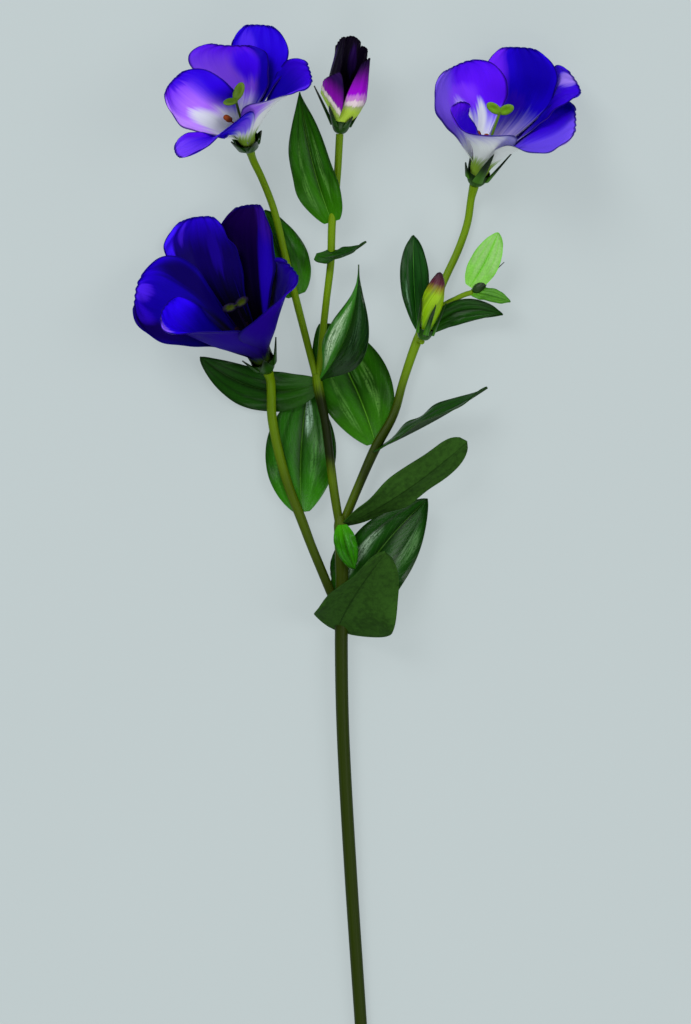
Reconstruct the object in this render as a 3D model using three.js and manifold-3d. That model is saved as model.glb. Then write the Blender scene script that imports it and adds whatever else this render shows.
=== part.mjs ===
// A cut lisianthus: one branching stem with three open blooms, a half-open bud, a closed bud, a bud still
// forming, and the leaves. It lies on its back on a flat surface, with the blooms looking up.
// Millimetres, +Z up, the stem along +Y with its cut end towards -Y.
import * as THREE from "three";
import { mergeVertices } from "three/addons/utils/BufferGeometryUtils.js";
import Module from "manifold-3d";

const wasm = await Module();
wasm.setup();

// Driving dimensions.
const BLADE_THICKNESS = 0.8;
const PETAL_THICKNESS = 0.8;
const SEPAL_THICKNESS = 0.8;
const SEAT_GAP = 0.35;
const STEM_SIDES = 8;
const RING_SPACING = 15;
const LEAF_COLUMNS = 4;
const LEAF_ROWS = 7;
const PETAL_COLUMNS = 6;
const PETAL_ROWS = 6;
const SLANT_OF_CUT = 0.9;

// Where the middle of the layout's base lies, so that the part's own origin is there.
const LAYOUT_CENTRE = new THREE.Vector3(5.75, 225.28, -0.07);

const FINISHES = {
  stem: new THREE.MeshStandardMaterial({ color: 0x5f8a1c, roughness: 0.55 }),
  leaf: new THREE.MeshStandardMaterial({ color: 0x2f6b1c, roughness: 0.45 }),
  paleLeaf: new THREE.MeshStandardMaterial({ color: 0x7fc24a, roughness: 0.5 }),
  calyx: new THREE.MeshStandardMaterial({ color: 0x24491a, roughness: 0.5 }),
  petal: new THREE.MeshStandardMaterial({ color: 0x3b14d8, roughness: 0.5 }),
  bud: new THREE.MeshStandardMaterial({ color: 0x8fb21c, roughness: 0.5 }),
  pistil: new THREE.MeshStandardMaterial({ color: 0x7ba51e, roughness: 0.5 }),
  stamen: new THREE.MeshStandardMaterial({ color: 0x9a5a2c, roughness: 0.7 }),
};

// Small helpers.

/** A point or direction from three numbers. */
const at = ([x, y, z]) => new THREE.Vector3(x, y, z);

/** Radians from degrees. */
const radians = THREE.MathUtils.degToRad;

/** A smooth step from 0 to 1 as x goes from low to high. */
const ease = THREE.MathUtils.smoothstep;

/** A closed geometry as a solid that can be joined and cut. */
function solidOf(geometry) {
  const bare = new THREE.BufferGeometry();
  bare.setAttribute("position", geometry.getAttribute("position").clone());
  if (geometry.index) bare.setIndex(geometry.index.clone());
  const merged = mergeVertices(bare, 1e-4);
  return new wasm.Manifold(
    new wasm.Mesh({
      numProp: 3,
      vertProperties: new Float32Array(merged.attributes.position.array),
      triVerts: new Uint32Array(merged.index.array),
    }),
  );
}

/** A solid's surface as a geometry. */
function geometryOf(solid) {
  const { numProp, vertProperties, triVerts } = solid.getMesh();
  const positions = new Float32Array((vertProperties.length / numProp) * 3);
  for (let i = 0; i * numProp < vertProperties.length; i++) {
    positions.set(vertProperties.subarray(i * numProp, i * numProp + 3), i * 3);
  }
  const geometry = new THREE.BufferGeometry();
  geometry.setAttribute("position", new THREE.BufferAttribute(positions, 3));
  geometry.setIndex(new THREE.BufferAttribute(new Uint32Array(triVerts), 1));
  geometry.computeVertexNormals();
  return geometry;
}

/** Several solids joined as one. */
const joined = (solids) => solids.reduce((whole, next) => whole.add(next));

/** The largest body of a solid, with any loose scrap dropped. */
function largestBody(solid) {
  const bodies = solid.decompose();
  return bodies.reduce((best, next) => (next.volume() > best.volume() ? next : best));
}

/** A solid turned about +Z from a profile of [radius, height] points. */
function turned(profile, sides) {
  const lathe = new THREE.LatheGeometry(profile.map(([r, h]) => new THREE.Vector2(r, h)), sides);
  return solidOf(lathe.rotateX(Math.PI / 2));
}

/** A named piece of the plant. */
function piece(name, solid, finish) {
  const mesh = new THREE.Mesh(geometryOf(solid), finish);
  mesh.name = name;
  return mesh;
}

// Blades: petals, leaves and sepals.

/**
 * A closed blade of even thickness on the surface point(u, v), with u from -1 to 1 across it and v from 0
 * to 1 along it. Both faces are split into triangles alike, so they never cross. crowd spaces the rows.
 */
function blade(point, columns, rows, thickness, crowd = (v) => v) {
  const STEP = 1e-3;
  const upper = [];
  const lower = [];
  for (let j = 0; j <= rows; j++) {
    for (let i = 0; i <= columns; i++) {
      const u = (2 * i) / columns - 1;
      const v = crowd(j / rows);
      const across = point(Math.min(u + STEP, 1), v).sub(point(Math.max(u - STEP, -1), v));
      const along = point(u, Math.min(v + STEP, 1)).sub(point(u, Math.max(v - STEP, 0)));
      const offset = across.cross(along).setLength(thickness / 2);
      const middle = point(u, v);
      upper.push(middle.clone().add(offset));
      lower.push(middle.clone().sub(offset));
    }
  }
  const count = upper.length;
  const cell = (i, j) => j * (columns + 1) + i;
  const faces = [];
  const quad = (a, b, c, d) => faces.push(a, b, c, a, c, d);
  for (let j = 0; j < rows; j++) {
    for (let i = 0; i < columns; i++) {
      const [a, b, c, d] = [cell(i, j), cell(i + 1, j), cell(i + 1, j + 1), cell(i, j + 1)];
      quad(a, b, c, d);
      faces.push(count + a, count + c, count + b, count + a, count + d, count + c);
    }
  }
  for (let i = 0; i < columns; i++) {
    quad(count + cell(i, 0), count + cell(i + 1, 0), cell(i + 1, 0), cell(i, 0));
    quad(count + cell(i + 1, rows), count + cell(i, rows), cell(i, rows), cell(i + 1, rows));
  }
  for (let j = 0; j < rows; j++) {
    quad(count + cell(columns, j), count + cell(columns, j + 1), cell(columns, j + 1), cell(columns, j));
    quad(count + cell(0, j + 1), count + cell(0, j), cell(0, j), cell(0, j + 1));
  }
  const geometry = new THREE.BufferGeometry();
  const positions = [...upper, ...lower].flatMap((p) => p.toArray());
  geometry.setAttribute("position", new THREE.Float32BufferAttribute(positions, 3));
  geometry.setIndex(faces);
  return solidOf(geometry);
}

// Stems.

/** A round, tapered stalk along a route of [x, y, z, radius], with flat ends, the first cut at a slant. */
function stalk(route, { slant = 0, grow = 0, sides = STEM_SIDES } = {}) {
  const curve = new THREE.CatmullRomCurve3(route.map(at), false, "centripetal");
  const spans = route.length - 1;
  const radiusAt = (t) => {
    const span = Math.min(Math.floor(t * spans), spans - 1);
    return THREE.MathUtils.lerp(route[span][3], route[span + 1][3], t * spans - span);
  };
  const rings = Math.max(2, Math.ceil(curve.getLength() / RING_SPACING));
  const points = [];
  let side = new THREE.Vector3(1, 0, 0);
  for (let k = 0; k <= rings; k++) {
    const t = curve.getUtoTmapping(k / rings);
    const centre = curve.getPoint(t);
    const along = curve.getTangent(t);
    side = side.sub(along.clone().multiplyScalar(side.dot(along))).normalize();
    const up = along.clone().cross(side);
    for (let s = 0; s < sides; s++) {
      const angle = (2 * Math.PI * s) / sides;
      const radius = radiusAt(t) + grow;
      const point = centre.clone();
      point.addScaledVector(side, radius * Math.cos(angle)).addScaledVector(up, radius * Math.sin(angle));
      if (k === 0) point.addScaledVector(along, slant * radius * Math.cos(angle));
      points.push(point);
    }
  }
  const faces = [];
  for (let k = 0; k < rings; k++) {
    for (let s = 0; s < sides; s++) {
      const a = k * sides + s;
      const b = k * sides + ((s + 1) % sides);
      faces.push(a, b, b + sides, a, b + sides, a + sides);
    }
  }
  for (let s = 1; s < sides - 1; s++) {
    faces.push(0, s + 1, s);
    faces.push(rings * sides, rings * sides + s, rings * sides + s + 1);
  }
  const geometry = new THREE.BufferGeometry();
  geometry.setAttribute("position", new THREE.Float32BufferAttribute(points.flatMap((p) => p.toArray()), 3));
  geometry.setIndex(faces);
  return solidOf(geometry);
}

// Each route runs from the lower end up, and starts inside the stalk that it grows from.
const STEM_ROUTES = {
  main: [
    [10.5, -45, 3.3, 3.1],
    [7.6, 0, 4, 3.1],
    [2.7, 73, 6, 3.2],
    [-1.3, 146.5, 8, 3.2],
    [-2.1, 189, 9.5, 3.3],
    [-1.8, 223, 10, 3.2],
    [-2.4, 249, 10.5, 3.5],
    [-2.6, 254, 10.5, 2.6],
  ],
  centre: [
    [-2.4, 246, 10.5, 2.2],
    [-5.9, 267.5, 11, 2.3],
    [-8, 284.5, 11, 2.2],
    [-10.3, 302, 10.5, 2.2],
    [-13.6, 318, 10, 2.6],
    [-14.6, 325, 10, 2.3],
  ],
  leftBloom: [
    [-2, 202, 9.5, 2],
    [-8, 217, 10.5, 2.3],
    [-17.1, 239, 10, 2.3],
    [-22, 252, 9, 2.5],
    [-28.1, 267.5, 8, 2.4],
    [-33.2, 284.5, 7, 2.4],
    [-37, 304, 6.5, 2.4],
    [-37.3, 315, 6.8, 2.3],
    [-37.6, 322, 9.4, 2.3],
    [-38.9, 326.5, 12.8, 2.4],
  ],
  topLeftBloom: [
    [-14, 320, 10, 1.6],
    [-19.5, 342, 9.5, 1.8],
    [-24, 359.5, 8.5, 1.9],
    [-30.4, 385, 7, 1.8],
    [-36, 408, 6.5, 1.8],
    [-42, 423.5, 9.5, 1.8],
    [-46.2, 432.2, 14, 1.9],
    [-47.9, 437.3, 20.2, 2.1],
  ],
  halfOpenBud: [
    [-14, 320, 10, 1.6],
    [-11.6, 344, 11, 1.8],
    [-9.5, 363, 12, 1.8],
    [-7.4, 381, 13, 1.9],
    [-6.7, 401.5, 14, 2],
    [-4.4, 420.5, 15, 1.8],
    [-2.9, 445.3, 16, 1.9],
  ],
  rightBloom: [
    [-2.4, 246, 10.5, 2.2],
    [-0.6, 251.5, 10, 2.3],
    [7.2, 270.5, 9, 2.3],
    [15.2, 288.5, 8, 2.6],
    [24.2, 305, 7, 2.2],
    [29.1, 322, 6, 2.1],
    [36.4, 343, 5.5, 2.4],
    [43.3, 358, 5, 1.9],
    [50.8, 375, 4, 1.9],
    [57, 388.5, 3, 1.9],
    [61.5, 402, 3, 1.9],
    [63.2, 413.5, 5.2, 1.9],
    [64.7, 420.2, 9.3, 2.2],
  ],
  closedBud: [
    [36, 342.8, 5.5, 1.2],
    [37.3, 341.8, 8.6, 1.2],
    [38.45, 341.45, 11.1, 1.4],
  ],
  formingBud: [
    [37.5, 344, 5.5, 1.2],
    [44, 354, 7, 1.3],
    [49.4, 360, 8, 1.3],
    [55.6, 363.2, 9.5, 1.3],
    [60, 365.2, 11, 1.3],
    [64, 366.2, 12.4, 1.4],
  ],
};

/** Every stalk, each drawn thicker by grow. */
function stalks(grow = 0) {
  return Object.entries(STEM_ROUTES).map(([name, route]) =>
    stalk(route, { grow, slant: name === "main" ? SLANT_OF_CUT : 0 }),
  );
}

// Leaves.

/**
 * A leaf. Its midrib runs from base past bend to tip, and its upper side looks along face, given at the base
 * and at the tip. The halves fold up from the midrib by fold, the margins rise and fall by wave, and ears is
 * how far back they reach beside the base. lean widens the half on its right, and lobe is the share of its
 * length over which its base is rounded.
 */
const LEAVES = [
  {
    name: "leaf_half_open_bud_upper",
    base: [-6.7, 401.5, 14],
    bend: [-18.2, 430.5, 22],
    tip: [-22.8, 465.5, 25],
    half: 11,
    face: [[-0.42, 0, 0.9], [-0.3, 0, 0.95]],
    fold: 24,
    wave: 1.2,
    point: 1.05,
  },
  {
    name: "leaf_half_open_bud_lower",
    base: [-15.2, 384, 16],
    bend: [-3, 380, 17],
    tip: [10.4, 390.8, 23],
    half: 5.2,
    face: [[0.1, 0.7, 0.7], [0, 0.9, 0.3]],
    fold: 20,
    wave: 0.6,
    point: 0.9,
  },
  {
    name: "leaf_top_left_bloom",
    base: [-24.4, 365, 8],
    bend: [-33, 385, 0.5],
    tip: [-40.5, 408, 3],
    half: 12.5,
    face: [[0.1, 0, 1], [0.2, 0.1, 1]],
    fold: 8,
    wave: 0.8,
    point: 0.8,
  },
  {
    name: "leaf_fork_left",
    base: [-14.3, 320.5, 9],
    bend: [-44, 309.5, 1.2],
    tip: [-73, 334, 7],
    half: 10.5,
    face: [[0, -0.4, 0.9], [0, -0.3, 0.95]],
    fold: 14,
    wave: 1,
    point: 0.72,
  },
  {
    name: "leaf_fork_right",
    base: [-13, 322, 11],
    bend: [6.7, 345.4, 32],
    tip: [6.6, 379, 34],
    half: 11.5,
    face: [[-0.2, 0.1, 0.95], [-0.2, 0, 0.95]],
    fold: 30,
    wave: 0.8,
    point: 2.9,
    shoulder: 2.1,
    lean: 0.25,
  },
  {
    name: "leaf_left_bloom",
    base: [-21.8, 256, 8],
    bend: [-24.5, 284, 1.4],
    tip: [-19, 317.4, 0.8],
    half: 17.3,
    face: [[-0.1, 0, 1], [0.05, 0, 1]],
    fold: 9,
    wave: 0.9,
    point: 0.75,
    shoulder: 0.8,
  },
  {
    name: "leaf_right_branch_left",
    base: [15, 290.5, 7.5],
    bend: [6.4, 322.5, 0.5],
    tip: [-13.2, 350.5, 4],
    half: 18,
    face: [[0, 0, 1], [0, 0.1, 1]],
    fold: 8,
    wave: 1,
    point: 0.75,
    shoulder: 0.75,
  },
  {
    name: "leaf_right_branch_right",
    base: [15.4, 287.5, 8.5],
    bend: [42, 298, 25],
    tip: [71, 318, 20],
    half: 11,
    face: [[-0.45, 0.8, 0.1], [-0.3, 0.8, 0.3]],
    fold: 22,
    wave: 1,
    point: 0.9,
  },
  {
    name: "leaf_branching_right",
    base: [0, 250, 12],
    bend: [30, 263, 35],
    tip: [60.5, 291, 30],
    half: 10.5,
    face: [[-0.3, 0.6, -0.6], [-0.3, 0.5, -0.75]],
    fold: 12,
    wave: 1.2,
    point: 0.45,
    shoulder: 0.8,
  },
  {
    name: "leaf_branching_front",
    base: [-1.6, 249.5, 14],
    bend: [-0.5, 237, 21],
    tip: [4.5, 227.5, 18],
    half: 5.2,
    face: [[0, 0.2, 1], [0.4, 0, 1]],
    fold: 16,
    wave: 0.5,
    point: 0.8,
  },
  {
    name: "leaf_lowest_back",
    base: [-1.3, 206, 9],
    bend: [11, 234.5, 9.5],
    tip: [41.2, 262.5, 11.5],
    half: 17.5,
    face: [[-0.3, 0.2, 0.9], [-0.2, 0, 0.9]],
    fold: 4,
    wave: 1.4,
    point: 0.8,
    lean: 0.15,
  },
  {
    name: "leaf_lowest_front",
    base: [-3, 199.5, 12.5],
    bend: [2, 214, 36],
    tip: [19.5, 236, 50],
    half: 20,
    face: [[0.28, 0.79, -0.55], [-0.36, 0.69, -0.63]],
    fold: -17,
    wave: 1.2,
    point: 0.5,
    shoulder: 0.12,
    ears: 6,
    lean: -0.25,
    lobe: 0.32,
  },
  {
    name: "leaf_lowest_left",
    base: [-3.4, 219, 5.5],
    bend: [-4.6, 228, 2],
    tip: [-3.6, 239, 2.5],
    half: 3.2,
    face: [[-0.2, 0, 1], [0, 0, 1]],
    fold: 10,
    wave: 0.4,
    point: 0.8,
  },
  {
    name: "leaf_closed_bud_left",
    base: [36.2, 348, 6.5],
    bend: [33.6, 370, 11.5],
    tip: [34, 394.8, 12],
    half: 6.8,
    face: [[0.2, 0, 1], [0.1, 0, 1]],
    fold: 22,
    wave: 0.5,
    point: 0.8,
    shoulder: 1.1,
  },
  {
    name: "leaf_closed_bud_right",
    base: [38.6, 344.2, 5.5],
    bend: [56, 364, 8],
    tip: [79, 355, 11],
    half: 5.6,
    face: [[0, -0.2, 1], [0, -0.2, 1]],
    fold: 16,
    wave: 0.5,
    point: 0.95,
    shoulder: 1,
  },
];

const PALE_LEAVES = [
  {
    name: "leaf_forming_bud_upper",
    base: [62.4, 369, 13],
    bend: [70, 379.5, 19],
    tip: [76.4, 395.6, 20],
    half: 6.8,
    face: [[0, -0.1, 1], [0, -0.1, 1]],
    fold: 10,
    wave: 0.5,
    point: 0.66,
  },
  {
    name: "leaf_forming_bud_lower",
    base: [62.8, 366.6, 11.4],
    bend: [72, 364.8, 17],
    tip: [82.4, 361.2, 16],
    half: 3.4,
    face: [[0, 0.3, 0.8], [0.1, 0.5, 0.7]],
    fold: 18,
    wave: 0.5,
    point: 0.6,
  },
];

const LEAF_BASE_SHIFT = 0.035;
const LEAF_SHOULDER = 0.62;
const LEAF_TIP_HALF = 0.5;
const LEAF_WAVES = 2.2;

/** Half a leaf's width at v, as a share of its widest. A high point thins its tip, a low shoulder fills its base. */
function leafOutline(v, { point, shoulder = LEAF_SHOULDER, lobe = 0 }) {
  const widest = (shoulder - LEAF_BASE_SHIFT * point) / (shoulder + point);
  const raw = (w) => (w + LEAF_BASE_SHIFT) ** shoulder * (1 - w) ** point;
  const rounding = lobe > 0 ? Math.sqrt(1 - (1 - Math.min(v / lobe, 1)) ** 2) : 1;
  return (rounding * raw(v)) / raw(widest);
}

/** The surface of a leaf as point(u, v). */
function leafSurface(leaf) {
  const midrib = new THREE.QuadraticBezierCurve3(at(leaf.base), at(leaf.bend), at(leaf.tip));
  const [faceAtBase, faceAtTip] = leaf.face.map(at);
  const rise = Math.tan(radians(leaf.fold));
  const { ears = 0, lean = 0 } = leaf;
  return (u, v) => {
    const along = midrib.getTangent(v);
    const face = faceAtBase.clone().lerp(faceAtTip, v);
    const up = face.sub(along.clone().multiplyScalar(face.dot(along))).normalize();
    const side = along.clone().cross(up);
    const half = leaf.half * leafOutline(v, leaf) * (1 + lean * u) + LEAF_TIP_HALF;
    const lift = rise * half * Math.sqrt(u * u + 0.01) + leaf.wave * u * u * Math.sin(2 * Math.PI * LEAF_WAVES * v + u);
    const point = midrib.getPoint(v).addScaledVector(side, u * half).addScaledVector(up, lift * ease(v, 0, 0.35));
    return point.addScaledVector(along, -ears * u * u * (1 - v) ** 2);
  };
}

/** A leaf cut clear of what it grows beside, so that its base clasps the stalk that bears it. */
function leafSolid(leaf, clearance) {
  const whole = blade(leafSurface(leaf), LEAF_COLUMNS, LEAF_ROWS, BLADE_THICKNESS);
  return largestBody(whole.subtract(clearance));
}

// Blooms.

// A corolla's tube runs from a ring in the calyx to its mouth, where the petals part. Beyond it, each petal
// passes through rows of three points, at the given shares of its length.
const BLOOM_TUBE = {
  root: { radius: 3.2, height: 3.2, span: 50 },
  mouth: { radius: 5.6, height: 14, span: 48 },
  stations: [0, 0.2, 0.45, 0.75, 1],
};
const BUD_TUBE = {
  root: { radius: 2.4, height: 2.7, span: 50 },
  mouth: { radius: 5.3, height: 8, span: 48 },
  stations: [0, 0.2, 0.55, 1],
};
const PETAL_STAGGER = 1.3;
const TIP_SHARE = 0.4;
const FLOOR_THICKNESS = 0.9;

/** The parabola through three values at u = -1, 0 and 1. */
const across = ([left, middle, right], u) =>
  left
    .clone()
    .multiplyScalar((u * (u - 1)) / 2)
    .addScaledVector(middle, 1 - u * u)
    .addScaledVector(right, (u * (u + 1)) / 2);

/** The weights at v of the values at the given stations, on a smooth curve through them all. */
function splineWeights(stations, v) {
  const weights = stations.map(() => 0);
  const last = stations.length - 1;
  const k = Math.max(0, Math.min(last - 1, stations.findLastIndex((station) => station <= v)));
  const gap = stations[k + 1] - stations[k];
  const t = (v - stations[k]) / gap;
  weights[k] += 2 * t ** 3 - 3 * t ** 2 + 1;
  weights[k + 1] += 3 * t ** 2 - 2 * t ** 3;
  const lean = (at, share) => {
    const [low, high] = [Math.max(at - 1, 0), Math.min(at + 1, last)];
    weights[high] += (share * gap) / (stations[high] - stations[low]);
    weights[low] -= (share * gap) / (stations[high] - stations[low]);
  };
  lean(k, t ** 3 - 2 * t ** 2 + t);
  lean(k + 1, t ** 3 - t ** 2);
  return weights;
}

/** Three points across a petal on a ring about the bloom's axis. */
const ringRow = (azimuth, { radius, height, span }) =>
  [-1, 0, 1].map((u) => {
    const angle = radians(azimuth + u * span);
    return new THREE.Vector3(radius * Math.cos(angle), radius * Math.sin(angle), height);
  });

/**
 * The surface of a petal as point(u, v) in its bloom's frame: x towards the flower's upper side, y to its
 * right, z along its axis. Each row gives its left margin, middle and right margin, and the outer two of
 * the last row are the corners that its rounded end keeps within. ruffle waves the margins, and tipShare is
 * the share of its width left at the very end.
 */
function petalSurface({ azimuth, rows, ruffle, phase, tipShare = TIP_SHARE }, { root, mouth, stations }) {
  const through = [ringRow(azimuth, root), ringRow(azimuth, mouth), ...rows.map((row) => row.map(at))];
  const smooth = (u, v) => {
    const narrowed = u * Math.sqrt(1 - (1 - tipShare ** 2) * v ** 9);
    const weights = splineWeights(stations, v);
    return through.reduce(
      (sum, row, k) => sum.addScaledVector(across(row, narrowed), weights[k]),
      new THREE.Vector3(),
    );
  };
  const STEP = 1e-3;
  return (u, v) => {
    const sideways = smooth(u + STEP, v).sub(smooth(u - STEP, v));
    const along = smooth(u, Math.min(v + STEP, 1)).sub(smooth(u, Math.max(v - STEP, 0)));
    const inward = along.cross(sideways).normalize();
    const margin = Math.abs(u) ** 3 * v + 0.5 * v ** 8;
    const waves = Math.sin(11 * v + 3 * u + phase);
    const staggered = PETAL_STAGGER * u * ease(v, 0.15, 0.3) * (1 - ease(v, 0.35, 0.7));
    return smooth(u, v).addScaledVector(inward, ruffle * waves * margin - staggered);
  };
}

/** Rows that crowd towards a rounded tip. */
const towardsTip = (v) => Math.sin((v * Math.PI) / 2);

/** A corolla, drawn thicker by grow: its petals, joined at their roots in a short tube on a floor. */
function corollaSolid(petals, tube, grow = 0) {
  const blades = petals.map((petal) =>
    blade(petalSurface(petal, tube), PETAL_COLUMNS, PETAL_ROWS, PETAL_THICKNESS + 2 * grow, towardsTip),
  );
  const { radius, height } = tube.root;
  const floor = [
    [0, height - 0.4 - grow],
    [radius + grow, height - 0.4 - grow],
    [radius + 0.3 + grow, height + FLOOR_THICKNESS],
    [0, height + FLOOR_THICKNESS],
  ];
  return largestBody(joined([turned(floor, 10), ...blades]));
}

/**
 * A calyx: a cup with five narrow pointed sepals, keeled along the middle, each as wide as width at its
 * root and splayed further by its own angle. It is cut clear of held, the flower that it holds, drawn thicker.
 */
function calyxSolid({ cup, reaches, spread, turn, width = 5.8, splays = [0, 0, 0, 0, 0] }, held) {
  const profile = [
    [0, 0],
    [2.3, 0],
    [4.4, 1.6],
    [5.9, 5],
    [6.5, 8.4],
    [5.7, 8.4],
    [5, 4.6],
    [4.4, 2.3],
    [0, 2.3],
  ];
  const cupSolid = turned(
    profile.map(([r, h]) => [r * cup, h * cup]),
    9,
  );
  const sepals = reaches.map((reach, k) => {
    const azimuth = radians(turn + 72 * k);
    const radial = new THREE.Vector3(Math.cos(azimuth), Math.sin(azimuth), 0);
    const sideways = new THREE.Vector3(-Math.sin(azimuth), Math.cos(azimuth), 0);
    const lean = radians(spread + splays[k]);
    const surface = (u, v) => {
      const half = (cup * width * (1 - v) ** 0.8) / 2 + 0.35;
      const bowed = (half * half * u * u) / (12 * cup) - 0.7 * (1 - Math.abs(u));
      return radial
        .clone()
        .multiplyScalar(cup * 6 + reach * v * Math.sin(lean) - bowed)
        .addScaledVector(sideways, half * u)
        .setZ(cup * 5 + reach * v * Math.cos(lean));
    };
    return blade(surface, 2, 3, SEPAL_THICKNESS);
  });
  return largestBody(joined([cupSolid, ...sepals]).subtract(held));
}

const OVARY_RADIUS = 1.5;
const STAMEN_RADIUS = 2.25;

/**
 * A pistil: the ovary, its style, and a stigma of two lobes spread like a pair of leaves. Each lobe rises by
 * its own pitch, and roll turns their faces about their own length.
 */
function pistilSolid({ height, turn, pitches = [30, 30], roll = 0, size = 1 }) {
  const profile = [
    [0, 0],
    [1.2, 0],
    [OVARY_RADIUS, 3.5],
    [1.3, 8],
    [0.75, 12],
    [0.75, height],
    [0, height],
  ];
  const lobes = pitches.map((pitch, k) => {
    const lobe = new THREE.SphereGeometry(1, 8, 6);
    lobe.scale(3.9 * size, 2.3 * size, 1.2);
    lobe.rotateX(radians(k === 0 ? roll : -roll));
    lobe.translate(3.3 * size, 0, 0);
    lobe.rotateY(-radians(pitch));
    lobe.rotateZ(radians(turn + 180 * k));
    lobe.translate(0, 0, height - 0.8);
    return solidOf(lobe);
  });
  return joined([turned(profile, 8), ...lobes]);
}

/** The stamens: filaments on a ring about the ovary, each given as its reach, its bow and its anther's size. */
function stamenSolid({ turn, filaments }) {
  const ring = [
    [STAMEN_RADIUS - 0.4, 0],
    [STAMEN_RADIUS + 0.4, 0],
    [STAMEN_RADIUS + 0.4, 1],
    [STAMEN_RADIUS - 0.4, 1],
    [STAMEN_RADIUS - 0.4, 0],
  ];
  const stamens = filaments.map(([reach, bow, size], k) => {
    const azimuth = radians(turn + 72 * k);
    const place = (r, h) => [r * Math.cos(azimuth), r * Math.sin(azimuth), h, 0.4];
    const route = [place(STAMEN_RADIUS, 0.4), place(STAMEN_RADIUS, reach / 2), place(bow, reach)];
    const anther = new THREE.SphereGeometry(1, 5, 3);
    anther.scale(1.2 * size, 1.2 * size, 1.6 * size);
    anther.rotateY(radians(30));
    anther.translate(bow + 0.4, 0, reach + 0.6);
    anther.rotateZ(azimuth);
    return [stalk(route, { sides: 3 }), solidOf(anther)];
  });
  return joined([turned(ring, 10), ...stamens.flat()]);
}

/** A closed bud, drawn thicker by grow: furled petals wound round each other about +Z. */
function furledSolid({ profile, furls = 5, turnsPerMillimetre, ridge }, grow = 0) {
  const sides = furls * 3;
  const points = profile.flatMap(([radius, height]) =>
    Array.from({ length: sides }, (_, k) => {
      const angle = (2 * Math.PI * k) / sides;
      const wound = angle + 2 * Math.PI * turnsPerMillimetre * height;
      const r = radius * (1 + ridge * ((k % 3) - 1)) + grow;
      return [r * Math.cos(wound), r * Math.sin(wound), height];
    }),
  );
  const base = points.length;
  points.push([0, 0, profile[0][1] - grow], [0, 0, profile.at(-1)[1] + 0.4 + grow]);
  const faces = [];
  for (let ring = 0; ring < profile.length - 1; ring++) {
    for (let k = 0; k < sides; k++) {
      const a = ring * sides + k;
      const b = ring * sides + ((k + 1) % sides);
      faces.push(a, b, b + sides, a, b + sides, a + sides);
    }
  }
  const last = (profile.length - 1) * sides;
  for (let k = 0; k < sides; k++) {
    faces.push(base, (k + 1) % sides, k, base + 1, last + k, last + ((k + 1) % sides));
  }
  const geometry = new THREE.BufferGeometry();
  geometry.setAttribute("position", new THREE.Float32BufferAttribute(points.flat(), 3));
  geometry.setIndex(faces);
  return solidOf(geometry);
}

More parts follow.
